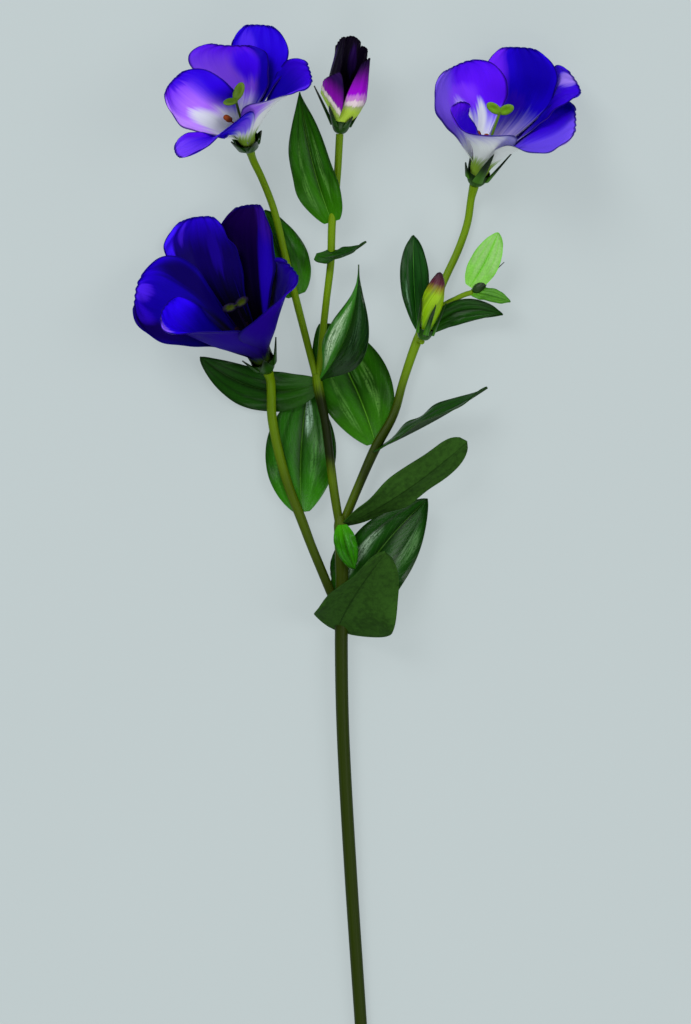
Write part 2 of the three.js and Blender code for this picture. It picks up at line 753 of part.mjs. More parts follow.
const BLOOMS = [
  {
    name: "top_left_bloom",
    base: [-48, 437.5, 20.5],
    tilt: 54,
    heading: -16,
    petals: [
      {
        azimuth: -35,
        rows: [
          [[18, -11, 36], [13, -5, 31], [9, 6, 38]],
          [[18, -26, 46], [25, -23, 44], [29, -16, 48]],
          [[21, -35, 48], [30, -35, 46], [38, -30, 46]],
        ],
        ruffle: 1.2,
        phase: 0.4,
      },
      {
        azimuth: 45,
        rows: [
          [[6, 2, 37], [6, 13, 30], [-5, 17, 32]],
          [[13, 23, 46], [5, 30, 42], [-14, 26, 38]],
          [[21, 33, 50], [6, 39, 49], [-15, 38, 45]],
        ],
        ruffle: 1.2,
        phase: 1.4,
      },
      {
        azimuth: 125,
        rows: [
          [[-2, 17, 32], [-16, 13, 26], [-16, 6, 30]],
          [[-13, 30, 40], [-26, 19, 38], [-32, 4, 38]],
          [[-23, 38, 44], [-39, 21, 44], [-38, 5, 42]],
        ],
        ruffle: 1.2,
        phase: 0.7,
      },
      {
        azimuth: -165,
        rows: [
          [[-4, 15, 32], [-14, 5, 27], [-13, -5, 30]],
          [[-12, 21, 42], [-22, 5, 40], [-28, -18, 42]],
          [[-21, 27, 46], [-28, 5, 47], [-41, -16, 46]],
        ],
        ruffle: 1.2,
        phase: 2.2,
      },
      {
        azimuth: -95,
        rows: [
          [[-6, 0, 29], [-1, -11, 28], [11, -13, 30]],
          [[-4, 0, 46], [-6, -22, 40], [10, -29, 42]],
          [[-23, -6, 48], [-15, -29, 47], [4, -35, 46]],
        ],
        ruffle: 1.2,
        phase: 1.2,
      },
    ],
    calyx: { cup: 0.95, turn: 20, reaches: [11, 7, 11, 12, 13], spread: 20 },
    pistil: { height: 35.5, turn: 133, size: 1.25 },
    stamens: { turn: -62, filaments: [[25.5, 6.6, 1.7], [7, 2.8, 1], [7, 2.8, 1], [7, 2.8, 1], [7, 2.8, 1]] },
  },
  {
    name: "left_bloom",
    base: [-39, 326.8, 13],
    tilt: 38,
    heading: -25.8,
    petals: [
      {
        azimuth: -35,
        rows: [
          [[-3, -14, 38], [8, -19, 34], [23, 1, 42]],
          [[-2, -16, 54], [3, -32, 52], [19, -26, 56]],
          [[-10, -20, 62], [2, -34, 62], [23, -42, 60]],
        ],
        ruffle: 1.2,
        phase: 0.4,
      },
      {
        azimuth: 37,
        rows: [
          [[25, -6, 44], [22, 11, 36], [-5, 15, 37]],
          [[34, 14, 58], [22, 25, 54], [-12, 25, 49]],
          [[39, 31, 64], [20, 33, 63], [-14, 30, 57]],
        ],
        ruffle: 1.2,
        phase: 1.4,
      },
      {
        azimuth: 109,
        rows: [
          [[6, 17, 42], [-11, 11, 35], [-15, 4, 38]],
          [[-9, 29, 58], [-32, 20, 52], [-43, 8, 56]],
          [[-25, 38, 70], [-37, 28, 70], [-45, 10, 70]],
        ],
        ruffle: 1.2,
        phase: 0.7,
      },
      {
        azimuth: 181,
        rows: [
          [[-13, 7, 40], [-32, -6, 35], [-34, -17, 37]],
          [[-28, 14, 56], [-52, -4, 51.5], [-54, -22, 53.5]],
          [[-30, 13, 65], [-58, 1, 63.5], [-56, -24, 61.5]],
        ],
        ruffle: 1.9,
        phase: 2.2,
      },
      {
        azimuth: -107,
        rows: [
          [[-25, -7, 40], [-20, -19, 33], [6, -19, 33]],
          [[-40, -12, 56], [-28, -35, 48], [3, -41, 46]],
          [[-50, -23, 64], [-26, -42, 60], [-3, -55, 54]],
        ],
        ruffle: 1.9,
        phase: 1.2,
      },
    ],
    calyx: { cup: 0.95, turn: 0, reaches: [10, 16, 13, 13, 11], spread: 22 },
    pistil: { height: 40.5, turn: 90, pitches: [12, 12], roll: 50 },
    stamens: { turn: 30, filaments: [22, 23, 22, 24, 22].map((reach) => [reach, 4.6, 1.2]) },
  },
  {
    name: "right_bloom",
    base: [64.8, 420.5, 9.5],
    tilt: 33,
    heading: 19.3,
    petals: [
      {
        azimuth: -38,
        rows: [
          [[7, -8, 32], [21, -6, 32], [13, 12, 40]],
          [[19, -14, 48], [39, -18, 50], [46, -10, 52]],
          [[25, -14, 58], [37, -21, 60], [48, -28, 58]],
        ],
        ruffle: 1.2,
        phase: 0.4,
      },
      {
        azimuth: 37,
        rows: [
          [[26, 8, 40], [13, 14, 33], [-12, 15, 33]],
          [[40, 26, 50], [0, 30, 42], [-21, 23, 47]],
          [[38, 37, 54], [-1, 37, 52], [-26, 32, 54]],
        ],
        ruffle: 1.2,
        phase: 1.4,
      },
      {
        azimuth: 109,
        rows: [
          [[-3, 18, 36], [-25, 19, 31], [-32, 19, 34]],
          [[-8, 25, 50], [-26, 24, 50], [-42, 18, 51]],
          [[-7, 37, 60], [-22, 32, 61], [-48, 18, 61]],
        ],
        ruffle: 1.2,
        phase: 0.7,
      },
      {
        azimuth: 181,
        rows: [
          [[-22, 20, 37], [-28, 8, 31], [-15, -5, 31]],
          [[-30, 23, 53.5], [-34, 6, 51.5], [-25, -14, 45]],
          [[-36, 21, 62.5], [-37, -2, 62], [-35, -19, 51]],
        ],
        ruffle: 1.2,
        phase: 2.2,
      },
      {
        azimuth: -107,
        rows: [
          [[-15, 0, 32], [-10, -11, 30], [14, -16, 30]],
          [[-15, 0, 52], [-15, -23, 43], [20, -30, 42]],
          [[-27, -8, 60], [-16, -28, 52], [4, -39, 46]],
        ],
        ruffle: 1.2,
        phase: 1.2,
      },
    ],
    calyx: { cup: 0.92, turn: 10, reaches: [29, 21, 9, 8, 9], spread: 24, width: 4.6, splays: [3.5, -5, 0, 0, 0] },
    pistil: { height: 39.5, turn: 90, pitches: [46, 18], roll: 75, size: 1.1 },
    stamens: { turn: -16, filaments: [[20, 5, 1.2], [18, 5, 1.2], [19, 5, 1.2], [18.8, 6, 1.4], [22.4, 6, 1.4]] },
  },
];

/** The turn that points a bloom's axis along its heading and tilt, with azimuth 0 on its upper side. */
function facing({ tilt, heading }) {
  const [t, h] = [radians(tilt), radians(heading)];
  const axis = new THREE.Vector3(Math.cos(t) * Math.sin(h), Math.cos(t) * Math.cos(h), Math.sin(t));
  const upper = new THREE.Vector3(0, 0, 1).addScaledVector(axis, -axis.z).normalize();
  const basis = new THREE.Matrix4().makeBasis(upper, axis.clone().cross(upper), axis);
  return new THREE.Quaternion().setFromRotationMatrix(basis);
}

/** A group that stands on a stalk's end, with its own +Z along the flower's axis. */
function flowerGroup({ base, tilt, heading }) {
  const group = new THREE.Group();
  group.position.copy(at(base));
  group.quaternion.copy(facing({ tilt, heading }));
  return group;
}

/** A solid of a flower's own frame, placed in the layout. */
function placedSolid(flower, solid) {
  const group = flowerGroup(flower);
  group.updateMatrix();
  return solid.transform(group.matrix.elements);
}

/** A bloom, with its pieces stacked along its own +Z. */
function bloomGroup(bloom) {
  const group = flowerGroup(bloom);
  const add = (part, solid, finish) => group.add(piece(`${bloom.name}_${part}`, solid, finish));
  const floor = [0, 0, BLOOM_TUBE.root.height + FLOOR_THICKNESS + SEAT_GAP];
  const corolla = corollaSolid(bloom.petals, BLOOM_TUBE);
  const clearance = corolla.add(corollaSolid(bloom.petals, BLOOM_TUBE, SEAT_GAP));
  const stamens = stamenSolid(bloom.stamens).translate(floor).subtract(clearance);
  add("calyx", calyxSolid(bloom.calyx, clearance), FINISHES.calyx);
  add("corolla", corolla, FINISHES.petal);
  add("pistil", pistilSolid(bloom.pistil).translate(floor), FINISHES.pistil);
  add("stamens", largestBody(stamens), FINISHES.stamen);
  return group;
}

// Buds.

const HALF_OPEN_BUD = {
  name: "half_open_bud",
  base: [-2.9, 445.6, 16.2],
  tilt: 12,
  heading: 8,
  petals: [
    { azimuth: -60, rows: [[[-3, -10.5, 16], [6, -8.5, 17], [8.5, 0, 17]], [[-3, -12.5, 23], [6, -9.5, 28], [9, -2, 33]]] },
    { azimuth: 30, rows: [[[7.6, 0.5, 19], [7.6, 8, 20], [0.5, 10, 20]], [[6.6, 5, 36], [5, 9.5, 40], [-1, 9.5, 38]]] },
    { azimuth: -125, rows: [[[-8, -5, 22], [-1, -9, 22], [7, -5, 22]], [[-4, -7.6, 40], [1, -6, 47.3], [5, -2, 48.5]]] },
    { azimuth: 170, rows: [[[-7, 6, 22], [-8.5, 0, 22], [-6, -6, 22]], [[-4, 5, 45], [-1, 0.5, 49], [0, -5, 47]]] },
    { azimuth: 100, rows: [[[4, 8.5, 22], [-4, 8, 22], [-8, 1, 22]], [[4.5, 7, 41], [1, 7.5, 44], [-4, 4, 45]]] },
  ].map((petal, k) => ({ ...petal, ruffle: 0.5, phase: 1.7 * k, tipShare: 0.75 })),
  calyx: { cup: 0.76, turn: 36, reaches: [7, 7, 9, 21, 13], spread: 26, width: 3.8, splays: [0, 0, 0, 8, 10] },
};

const CLOSED_BUD = {
  name: "closed_bud",
  base: [38.9, 342.4, 12.6],
  tilt: 12,
  heading: 14.2,
  body: {
    profile: [
      [1.8, 2.2],
      [2.5, 5],
      [3.9, 11],
      [5.2, 18],
      [5, 24],
      [3.4, 30.5],
      [1.2, 35],
    ],
    turnsPerMillimetre: 0.012,
    ridge: 0.05,
  },
  calyx: { cup: 0.66, turn: 10, reaches: [17, 18, 15, 17, 18], spread: 9, width: 2.9 },
};

const FORMING_BUD = {
  name: "forming_bud",
  base: [64.3, 366.4, 12.6],
  tilt: 12,
  heading: 50,
  body: {
    profile: [
      [0.9, 0],
      [2, 1],
      [2.6, 3.5],
      [2, 6.5],
      [0.8, 8],
    ],
    furls: 2,
    turnsPerMillimetre: 0.02,
    ridge: 0.06,
  },
  bristles: [
    [-1, 21.5],
    [-4, 19.5],
  ],
};

/** The half-open bud, its petals still furled round each other. */
function halfOpenBudGroup(bud) {
  const group = flowerGroup(bud);
  const corolla = corollaSolid(bud.petals, BUD_TUBE);
  const clearance = corolla.add(corollaSolid(bud.petals, BUD_TUBE, SEAT_GAP));
  group.add(piece(`${bud.name}_calyx`, calyxSolid(bud.calyx, clearance), FINISHES.calyx));
  group.add(piece(`${bud.name}_corolla`, corolla, FINISHES.petal));
  return group;
}

/** The closed bud. */
function closedBudGroup(bud) {
  const group = flowerGroup(bud);
  const furled = furledSolid(bud.body, SEAT_GAP);
  group.add(piece(`${bud.name}_calyx`, calyxSolid(bud.calyx, furled), FINISHES.calyx));
  group.add(piece(`${bud.name}_corolla`, furledSolid(bud.body), FINISHES.bud));
  return group;
}

/** The bud still forming between the two pale leaves: a small calyx with two long bristles. */
function formingBudGroup(bud) {
  const group = flowerGroup(bud);
  const bristles = bud.bristles.map(([side, reach]) =>
    stalk([[0, side * 0.5, 2, 0.4], [-1, side, reach / 2, 0.38], [0, side * 1.5, reach, 0.3]], { sides: 3 }),
  );
  group.add(piece(bud.name, joined([furledSolid(bud.body), ...bristles]), FINISHES.calyx));
  return group;
}

// The plant.

const lisianthus = new THREE.Group();
const layout = new THREE.Group();
layout.position.copy(LAYOUT_CENTRE).negate();
lisianthus.add(layout);

layout.add(piece("stem", joined(stalks()), FINISHES.stem));
const clearance = joined(stalks(SEAT_GAP));
for (const leaf of LEAVES) layout.add(piece(leaf.name, leafSolid(leaf, clearance), FINISHES.leaf));
const budClearance = clearance.add(placedSolid(FORMING_BUD, furledSolid(FORMING_BUD.body, SEAT_GAP)));
for (const leaf of PALE_LEAVES) layout.add(piece(leaf.name, leafSolid(leaf, budClearance), FINISHES.paleLeaf));
for (const bloom of BLOOMS) layout.add(bloomGroup(bloom));
layout.add(halfOpenBudGroup(HALF_OPEN_BUD), closedBudGroup(CLOSED_BUD), formingBudGroup(FORMING_BUD));

export default lisianthus;
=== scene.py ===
"""The looks of a cut lisianthus spray that lies on its back with its blooms looking up.

Every blade, stalk and bud is drawn again, finer, from the measures of its solid, and takes the solid's place.
Sizes are in millimetres in the layout of the spray, and metres once a mesh is made.
"""

from __future__ import annotations

import logging
import math
from collections.abc import Callable, Mapping, Sequence
from dataclasses import dataclass
from enum import Enum
from typing import Any

import bpy
import numpy as np
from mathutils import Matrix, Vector

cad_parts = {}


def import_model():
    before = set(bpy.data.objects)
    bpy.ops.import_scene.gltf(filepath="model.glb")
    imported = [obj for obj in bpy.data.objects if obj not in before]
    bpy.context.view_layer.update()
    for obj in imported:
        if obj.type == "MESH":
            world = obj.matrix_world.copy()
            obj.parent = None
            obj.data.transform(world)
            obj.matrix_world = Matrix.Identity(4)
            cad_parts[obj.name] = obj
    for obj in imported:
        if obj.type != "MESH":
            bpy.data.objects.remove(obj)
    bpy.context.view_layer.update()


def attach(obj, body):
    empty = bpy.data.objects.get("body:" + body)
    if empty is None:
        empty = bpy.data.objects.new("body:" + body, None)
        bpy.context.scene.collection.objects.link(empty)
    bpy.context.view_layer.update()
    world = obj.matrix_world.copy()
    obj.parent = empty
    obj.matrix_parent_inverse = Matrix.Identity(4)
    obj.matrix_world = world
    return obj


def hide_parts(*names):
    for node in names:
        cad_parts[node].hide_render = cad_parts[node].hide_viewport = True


LOG = logging.getLogger("lisianthus")

MILLIMETRE = 0.001
LAYOUT_CENTRE = (5.75, 225.28, -0.07)
STEP = 1e-3
SMOOTH_ANGLE = 60.0
SEPAL_ANGLE = 50.0
PETALS_APART = 72
SURFACE_MAP = "Blade"
UNDERSIDE = "underside"

Point = tuple[float, float, float]
Colour = tuple[float, float, float]
Row = tuple[Point, Point, Point]
Stops = tuple[tuple[float, float, float, float], ...]
Array = np.ndarray
Surface = Callable[[Array, Array], Array]
Faces = tuple[int, int]
Profile = Sequence[tuple[float, float]]
Piece = bpy.types.Object
Material = bpy.types.Material


class Slot(Enum):
    """The kinds of tissue that a piece is made of, as the record names them."""

    STEM = "stem"
    LEAF = "leaf"
    YOUNG_LEAF = "young_leaf"
    CALYX = "calyx"
    PETAL = "petal"
    BUD = "bud"
    PISTIL = "pistil"
    STAMENS = "stamens"


def ease(value: Array, low: float, high: float) -> Array:
    """A smooth step from 0 to 1 as value goes from low to high."""
    t = np.clip((np.asarray(value, float) - low) / (high - low), 0.0, 1.0)
    return t * t * (3 - 2 * t)


def unit(vectors: Array) -> Array:
    """Vectors, one a row, brought to length 1."""
    return vectors / np.maximum(np.linalg.norm(vectors, axis=-1, keepdims=True), 1e-12)


def linear(colour: Colour) -> tuple[float, float, float, float]:
    """A colour of 0 to 255 a channel, as seen on a screen, as the shader's own values."""
    shares = [channel / 255 for channel in colour]
    bent = [s / 12.92 if s <= 0.04045 else ((s + 0.055) / 1.055) ** 2.4 for s in shares]
    return (bent[0], bent[1], bent[2], 1.0)


# Shaders.


def operator(operation: str, swapped: bool = False) -> Callable[..., Value]:
    """A method of Value that adds a Math node.

    Args:
        operation: What the node does.
        swapped: Whether the value comes last, as in a number minus a value.

    Returns:
        The method.
    """

    def method(value: Value, *others: Value | float) -> Value:
        """The node's output."""
        values = (*others, value) if swapped else (value, *others)
        return value.sheet.node("Math", {"operation": operation}, dict(enumerate(values)))

    return method


class Value:
    """A node's output that takes part in Python arithmetic."""

    def __init__(self, sheet: Sheet, socket: bpy.types.NodeSocket) -> None:
        """Keeps the sheet that the socket belongs to."""
        self.sheet = sheet
        self.socket = socket

    __add__ = __radd__ = operator("ADD")
    __sub__ = operator("SUBTRACT")
    __rsub__ = operator("SUBTRACT", swapped=True)
    __mul__ = operator("MULTIPLY")
    __truediv__ = operator("DIVIDE")
    __pow__ = operator("POWER")
    __abs__ = operator("ABSOLUTE")
    sine = operator("SINE")
    most = operator("MAXIMUM")

    def step(self, low: float, high: float) -> Value:
        """A smooth step from 0 to 1 as the value goes from low to high."""
        sockets = {"Value": self, "From Min": low, "From Max": high}
        return self.sheet.node("MapRange", {"interpolation_type": "SMOOTHSTEP"}, sockets)

    def near(self, place: float, reach: float) -> Value:
        """1 at a place, falling smoothly to 0 at reach from it."""
        return 1 - abs(self - place).step(0.0, reach)


class Sheet:
    """One material's nodes."""

    def __init__(self, name: str) -> None:
        """Starts an empty material."""
        self.material = bpy.data.materials.new(name)
        self.material.use_nodes = True
        self.tree = self.material.node_tree
        self.tree.nodes.clear()

    def node(
        self,
        kind: str,
        settings: Mapping[str, Any] | None = None,
        values: Mapping[str | int, Any] | None = None,
        output: str | int = 0,
    ) -> Value:
        """Adds any node.

        Args:
            kind: The node's type, without the words ShaderNode before it.
            settings: Its properties, set first. The key stops holds a ramp's (place, colour) pairs.
            values: A number, colour or Value for each named or numbered socket.
            output: The output that is handed on.

        Returns:
            That output as a Value.
        """
        made = self.tree.nodes.new(f"ShaderNode{kind}")
        for key, setting in (settings or {}).items():
            if key == "stops":
                self._set_stops(made.color_ramp, setting)
            else:
                setattr(made, key, setting)
        for key, value in (values or {}).items():
            if isinstance(value, Value):
                self.tree.links.new(value.socket, made.inputs[key])
            else:
                made.inputs[key].default_value = value
        return Value(self, made.outputs[output])

    @staticmethod
    def _set_stops(ramp: bpy.types.ColorRamp, stops: Sequence[tuple[float, Colour]]) -> None:
        """Gives a ramp its stops."""
        while len(ramp.elements) < len(stops):
            ramp.elements.new(1.0)
        for element, (place, colour) in zip(ramp.elements, stops):
            element.position = place
            element.color = linear(colour)

    def blend(self, share: Value | float, first: Value | Colour, second: Value | Colour) -> Value:
        """Two colours mixed: the first where share is 0, the second where it is 1."""
        ends = [c if isinstance(c, Value) else linear(c) for c in (first, second)]
        sockets = {0: share, 6: ends[0], 7: ends[1]}
        return self.node("Mix", {"data_type": "RGBA"}, sockets, output=2)

    def lit(self, colour: Value, value: Value | float) -> Value:
        """A colour made lighter or darker."""
        return self.node("HueSaturation", None, {"Color": colour, "Value": value})

    def across_and_along(self) -> tuple[Value, Value]:
        """The piece's own u, from -1 to 1, and v, from 0 to 1."""
        place = self.node("UVMap", {"uv_map": SURFACE_MAP})
        u = self.node("SeparateXYZ", None, {0: place}, "X")
        v = self.node("SeparateXYZ", None, {0: place}, "Y")
        return u * 2 - 1, v

    def spray(self) -> Value:
        """The point's place in the spray, in metres."""
        return self.node("TexCoord", None, None, "Object")

    def place(self, axis: str) -> Value:
        """The point's place in the spray along X, Y or Z, in metres."""
        return self.node("SeparateXYZ", None, {0: self.spray()}, axis)

    def underside(self) -> Value:
        """1 on a blade's second face, and 0 on its first."""
        return self.node("Attribute", {"attribute_name": UNDERSIDE}, None, "Fac")

    def streaks(self, u: Value, v: Value, count: float, length: float, detail: float = 3.0) -> Value:
        """Noise drawn out along v: count streaks across a blade, of which length go end to end."""
        place = self.node("CombineXYZ", None, {0: u * (count / 2), 1: v * length})
        sockets = {"Vector": place, "Scale": 1.0, "Detail": detail, "Roughness": 0.55}
        return self.node("TexNoise", None, sockets)

    def mottle(self, scale: float, detail: float = 3.0) -> Value:
        """Noise in the spray's own space, with scale spots a metre."""
        sockets = {"Vector": self.spray(), "Scale": scale, "Detail": detail}
        return self.node("TexNoise", None, sockets)

    def finished(self, **sockets: Any) -> Material:
        """The material, with its surface shader given these sockets; an underscore stands for a space."""
        values = {name.replace("_", " "): value for name, value in sockets.items()}
        surface = self.node("BsdfPrincipled", None, values)
        output = self.tree.nodes.new("ShaderNodeOutputMaterial")
        self.tree.links.new(surface.socket, output.inputs["Surface"])
        return self.material

    def tissue(
        self,
        colour: Value,
        roughness: Value,
        height: Value,
        gloss: float,
        relief: float = 0.0005,
        bend: float = 0.5,
    ) -> Material:
        """The material of plant tissue.

        Args:
            colour: Its colour.
            roughness: Its roughness.
            height: Its relief, from 0 to 1.
            gloss: The strength of its reflections.
            relief: What a height of 1 is worth, in metres.
            bend: How strongly the relief bends the light.

        Returns:
            The material.
        """
        normal = self.node("Bump", None, {"Height": height, "Distance": relief, "Strength": bend})
        return self.finished(Base_Color=colour, Roughness=roughness, Normal=normal, Specular_IOR_Level=gloss)


# Finishes.

# Streaks are a count, a length and a detail, and spots are a count a metre and a detail.
PETAL_STREAKS = (14, 1.2)
PETAL_HAIRS = (110, 3.0, 2.0)
LEAF_STREAKS = (7, 1.6)
LEAF_CLOUDS = (3, 2.4, 1.0)
LEAF_GLEAM = (40, 6, 2.0)
LEAF_CELLS = (1100, 2.0)
LEAF_BLOTCHES = (420, 4.0)
STEM_RIDGES = (24, 5, 2.0)
STEM_SPOTS = 40
PLAIN_STREAKS = (14, 2.0)
PLAIN_GRAIN = 700.0
BUD_STREAKS = (30, 1.6)

# Shares of a patch's reach, of a petal's length and half width, and of a leaf's half width.
PATCH_CORE = 0.15
PATCH_DRAW = 0.3
BAND_SOFTNESS = 0.14
TIP_SOFTNESS = 0.24
RIM_EDGE = (0.94, 0.995)
MIDRIB_EDGE = (0.006, 0.035)
FURROW_REACH = 0.24
SIDE_FURROW = (0.5, 0.14)

# A leaf's side veins: how many waves they make along it and across half of it.
VEINS_ALONG, VEINS_ACROSS = 34, 24


class Finish:
    """The look of one kind of surface."""

    def material(self, name: str) -> Material:
        """The finish as a material."""
        sheet = Sheet(name)
        return self.dress(sheet, *sheet.across_and_along())

    def dress(self, sheet: Sheet, u: Value, v: Value) -> Material:
        """Draws the finish on a sheet, from u across the piece and v along it."""
        raise NotImplementedError


@dataclass(frozen=True)
class Patch:
    """A soft oval of another colour, centred at (across, along) and reaching wide and long from there.

    On a petal or leaf these are in u and v, and on the stem in metres along X and Y.
    """

    colour: Colour
    across: float
    along: float
    wide: float
    long: float
    strength: float = 1.0

    def share(self, u: Value, v: Value) -> Value:
        """How much of the patch shows at (u, v)."""
        reach = ((u - self.across) / self.wide) ** 2 + ((v - self.along) / self.long) ** 2
        return (1 - reach.step(PATCH_CORE, 1.0)) * self.strength


@dataclass(frozen=True)
class Face:
    """The colours of one face of a petal: its base up to base_end, its body, and its tip from tip_start on.

    With a slant, the bands reach further along the petal's left margin than along its right one. draw is how
    far their edges are drawn out in streaks.
    """

    base: Colour
    body: Colour
    tip: Colour
    base_end: float = 0.36
    tip_start: float = 0.62
    patches: tuple[Patch, ...] = ()
    slant: float = 0.0
    draw: float = 0.24

    def colour(self, sheet: Sheet, u: Value, v: Value, streak: Value) -> Value:
        """The face's colour at (u, v), its edges drawn out along the petal by streak."""
        drawn = v + u * self.slant + (streak - 0.5) * self.draw
        tip = drawn.step(self.tip_start - BAND_SOFTNESS, self.tip_start + TIP_SOFTNESS)
        base = drawn.step(self.base_end - BAND_SOFTNESS, self.base_end + BAND_SOFTNESS)
        colour = sheet.blend(base, self.base, sheet.blend(tip, self.body, self.tip))
        for patch in self.patches:
            colour = sheet.blend(patch.share(u + (streak - 0.5) * PATCH_DRAW, drawn), colour, patch.colour)
        return colour


@dataclass(frozen=True)
class PetalFinish(Finish):
    """A petal's inner and outer face, its dark rim, and how rough and glossy it is."""

    inner: Face
    outer: Face
    rim: Colour = (10, 1, 90)
    rim_strength: float = 0.85
    roughness: float = 0.4
    gloss: float = 0.02

    def dress(self, sheet: Sheet, u: Value, v: Value) -> Material:
        """Draws both faces, the rim, and fine hairs of light and dark."""
        streak = sheet.streaks(u, v, *PETAL_STREAKS)
        hair = sheet.streaks(u, v, *PETAL_HAIRS)
        faces = [face.colour(sheet, u, v, streak) for face in (self.outer, self.inner)]
        rim = abs(u).most(v * v).step(*RIM_EDGE) * v.step(0.25, 0.5)
        colour = sheet.blend(rim * self.rim_strength, sheet.blend(sheet.underside(), *faces), self.rim)
        colour = sheet.lit(colour, hair * 0.2 + 0.9)
        height = streak * 0.4 + hair * 0.3
        return sheet.tissue(colour, streak * 0.2 + self.roughness, height, self.gloss, bend=0.4)


@dataclass(frozen=True)
class LeafFinish(Finish):
    """A leaf's greens: upper between its veins; deep, painted shade along the furrows and towards the margins
    and darker tone in clouds; root at its base; under below.

    vein colours the side veins, and the midrib as strongly as rib says. sheens are painted highlights,
    patches where the lamp shines. shade is painted shade on the half on its right, or on its left if it is
    negative.
    """

    upper: Colour = (30, 86, 2)
    deep: Colour = (4, 26, 1)
    under: Colour = (34, 70, 20)
    vein: Colour = (96, 164, 40)
    root: Colour = (54, 124, 2)
    sheens: tuple[Patch, ...] = ()
    rib: float = 0.2
    shade: float = 0.0
    roughness: float = 0.24
    gloss: float = 0.1

    def dress(self, sheet: Sheet, u: Value, v: Value) -> Material:
        """Draws the greens, the veins and the sheens."""
        streak = sheet.streaks(u, v, *LEAF_STREAKS)
        cells = sheet.mottle(*LEAF_CELLS)
        clouds = sheet.streaks(u, v, *LEAF_CLOUDS)
        blotches = sheet.mottle(*LEAF_BLOTCHES)
        below = sheet.underside()
        across = abs(u) + (streak - 0.5) * 0.16
        furrows = abs(u).near(0.0, FURROW_REACH).most(across.near(*SIDE_FURROW) * 0.6)
        midrib = 1 - abs(u).step(*MIDRIB_EDGE)
        side_veins = (v * VEINS_ALONG - abs(u) * VEINS_ACROSS).sine().near(0.0, 0.2)
        # Painted shade: deep darkens the furrows and the margins, where shade falls; the clouds add darker
        # tone at random.
        deep = (furrows * 0.75).most(clouds.step(0.45, 0.65) * 0.55).most(across.step(0.7, 1.05) * 0.7)
        colour = sheet.blend(deep * (v.step(0.0, 0.3) * 0.6 + 0.4), self.upper, self.deep)
        colour = sheet.blend((1 - v.step(0.0, 0.5)) * (streak * 0.4 + 0.2), colour, self.root)
        # Painted shade over the half that shade names.
        colour = sheet.lit(colour, 1 - (u * self.shade).step(-0.04, 0.12) * abs(self.shade))
        spots = (clouds * 0.5 + blotches * 0.7).step(0.45, 0.85) * 0.6
        colour = sheet.blend(below, colour, sheet.blend(spots, self.under, self.deep))
        colour = sheet.blend(midrib * (below * ((0.5 - self.rib) * 0.6) + self.rib), colour, self.vein)
        gleam = sheet.streaks(u, v, *LEAF_GLEAM).step(0.3, 0.66) * cells.step(0.2, 0.5)
        # Painted highlights: each sheen lightens the leaf in streaks where the lamp would shine.
        for sheen in self.sheens:
            spread = sheen.share(u + (streak - 0.5) * 0.4, v + (clouds - 0.5) * 0.3)
            colour = sheet.blend(spread * gleam, colour, sheen.colour)
        colour = sheet.blend(side_veins * 0.08, colour, self.vein)
        colour = sheet.lit(colour, streak * 0.3 + cells * 0.5 + 0.6)
        height = cells * 0.12 + streak * 0.6 - side_veins * 0.06 - midrib * 0.4
        roughness = clouds * 0.15 + below * 0.3 + self.roughness
        return sheet.tissue(colour, roughness, height, self.gloss, 0.0009, 0.6)


@dataclass(frozen=True)
class StemFinish(Finish):
    """The stem's greens, from low at its cut to high on the young stalks, and the places in shade.

    low_end and high_start are where the greens begin and end to change, in metres along Y.
    """

    low: Colour = (34, 48, 0)
    middle: Colour = (58, 78, 0)
    high: Colour = (92, 124, 0)
    low_end: float = -0.2
    high_start: float = 0.12
    shades: tuple[Patch, ...] = (
        Patch((8, 16, 0), -0.0165, 0.073, 0.008, 0.022, 0.95),
        Patch((8, 16, 0), 0.012, 0.066, 0.013, 0.03, 0.7),
    )

    def dress(self, sheet: Sheet, u: Value, v: Value) -> Material:
        """Draws the greens, the ridges along the stalks and the shades."""
        along = sheet.place("Y")
        span = (along - self.low_end) / (self.high_start - self.low_end)
        greens = {"stops": [(0.0, self.low), (0.5, self.low), (0.74, self.middle), (0.98, self.high)]}
        colour = sheet.node("ValToRGB", greens, {0: span + (sheet.mottle(STEM_SPOTS) - 0.5) * 0.25})
        ridges = sheet.streaks(u, v, *STEM_RIDGES)
        for shade in self.shades:
            aside = abs(sheet.place("X") - shade.across) / shade.wide
            reach = aside.most(abs(along - shade.along) / shade.long) + (ridges - 0.5) * 0.4
            colour = sheet.blend((1 - reach.step(0.6, 1.15)) * shade.strength, colour, shade.colour)
        colour = sheet.lit(colour, ridges * 0.5 + 0.75)
        return sheet.tissue(colour, ridges * 0.15 + 0.36, ridges, 0.12)


@dataclass(frozen=True)
class PlainFinish(Finish):
    """Two mottled colours that shade into each other along a piece, for sepals, pistils and anthers.

    They change at turn, over soft to each side.
    """

    root: Colour
    end: Colour
    turn: float = 0.5
    soft: float = 0.3
    roughness: float = 0.45
    gloss: float = 0.3

    def dress(self, sheet: Sheet, u: Value, v: Value) -> Material:
        """Draws the two colours, with grain and streaks."""
        grain = sheet.mottle(PLAIN_GRAIN)
        streak = sheet.streaks(u, v, *PLAIN_STREAKS)
        share = (v + (streak - 0.5) * 0.2).step(self.turn - self.soft, self.turn + self.soft)
        colour = sheet.lit(sheet.blend(share, self.root, self.end), grain * 0.28 + 0.72 + streak * 0.28)
        roughness, height = grain * 0.1 + self.roughness, grain * 0.5 + streak * 0.5
        return sheet.tissue(colour, roughness, height, self.gloss, 0.0004, 0.6)


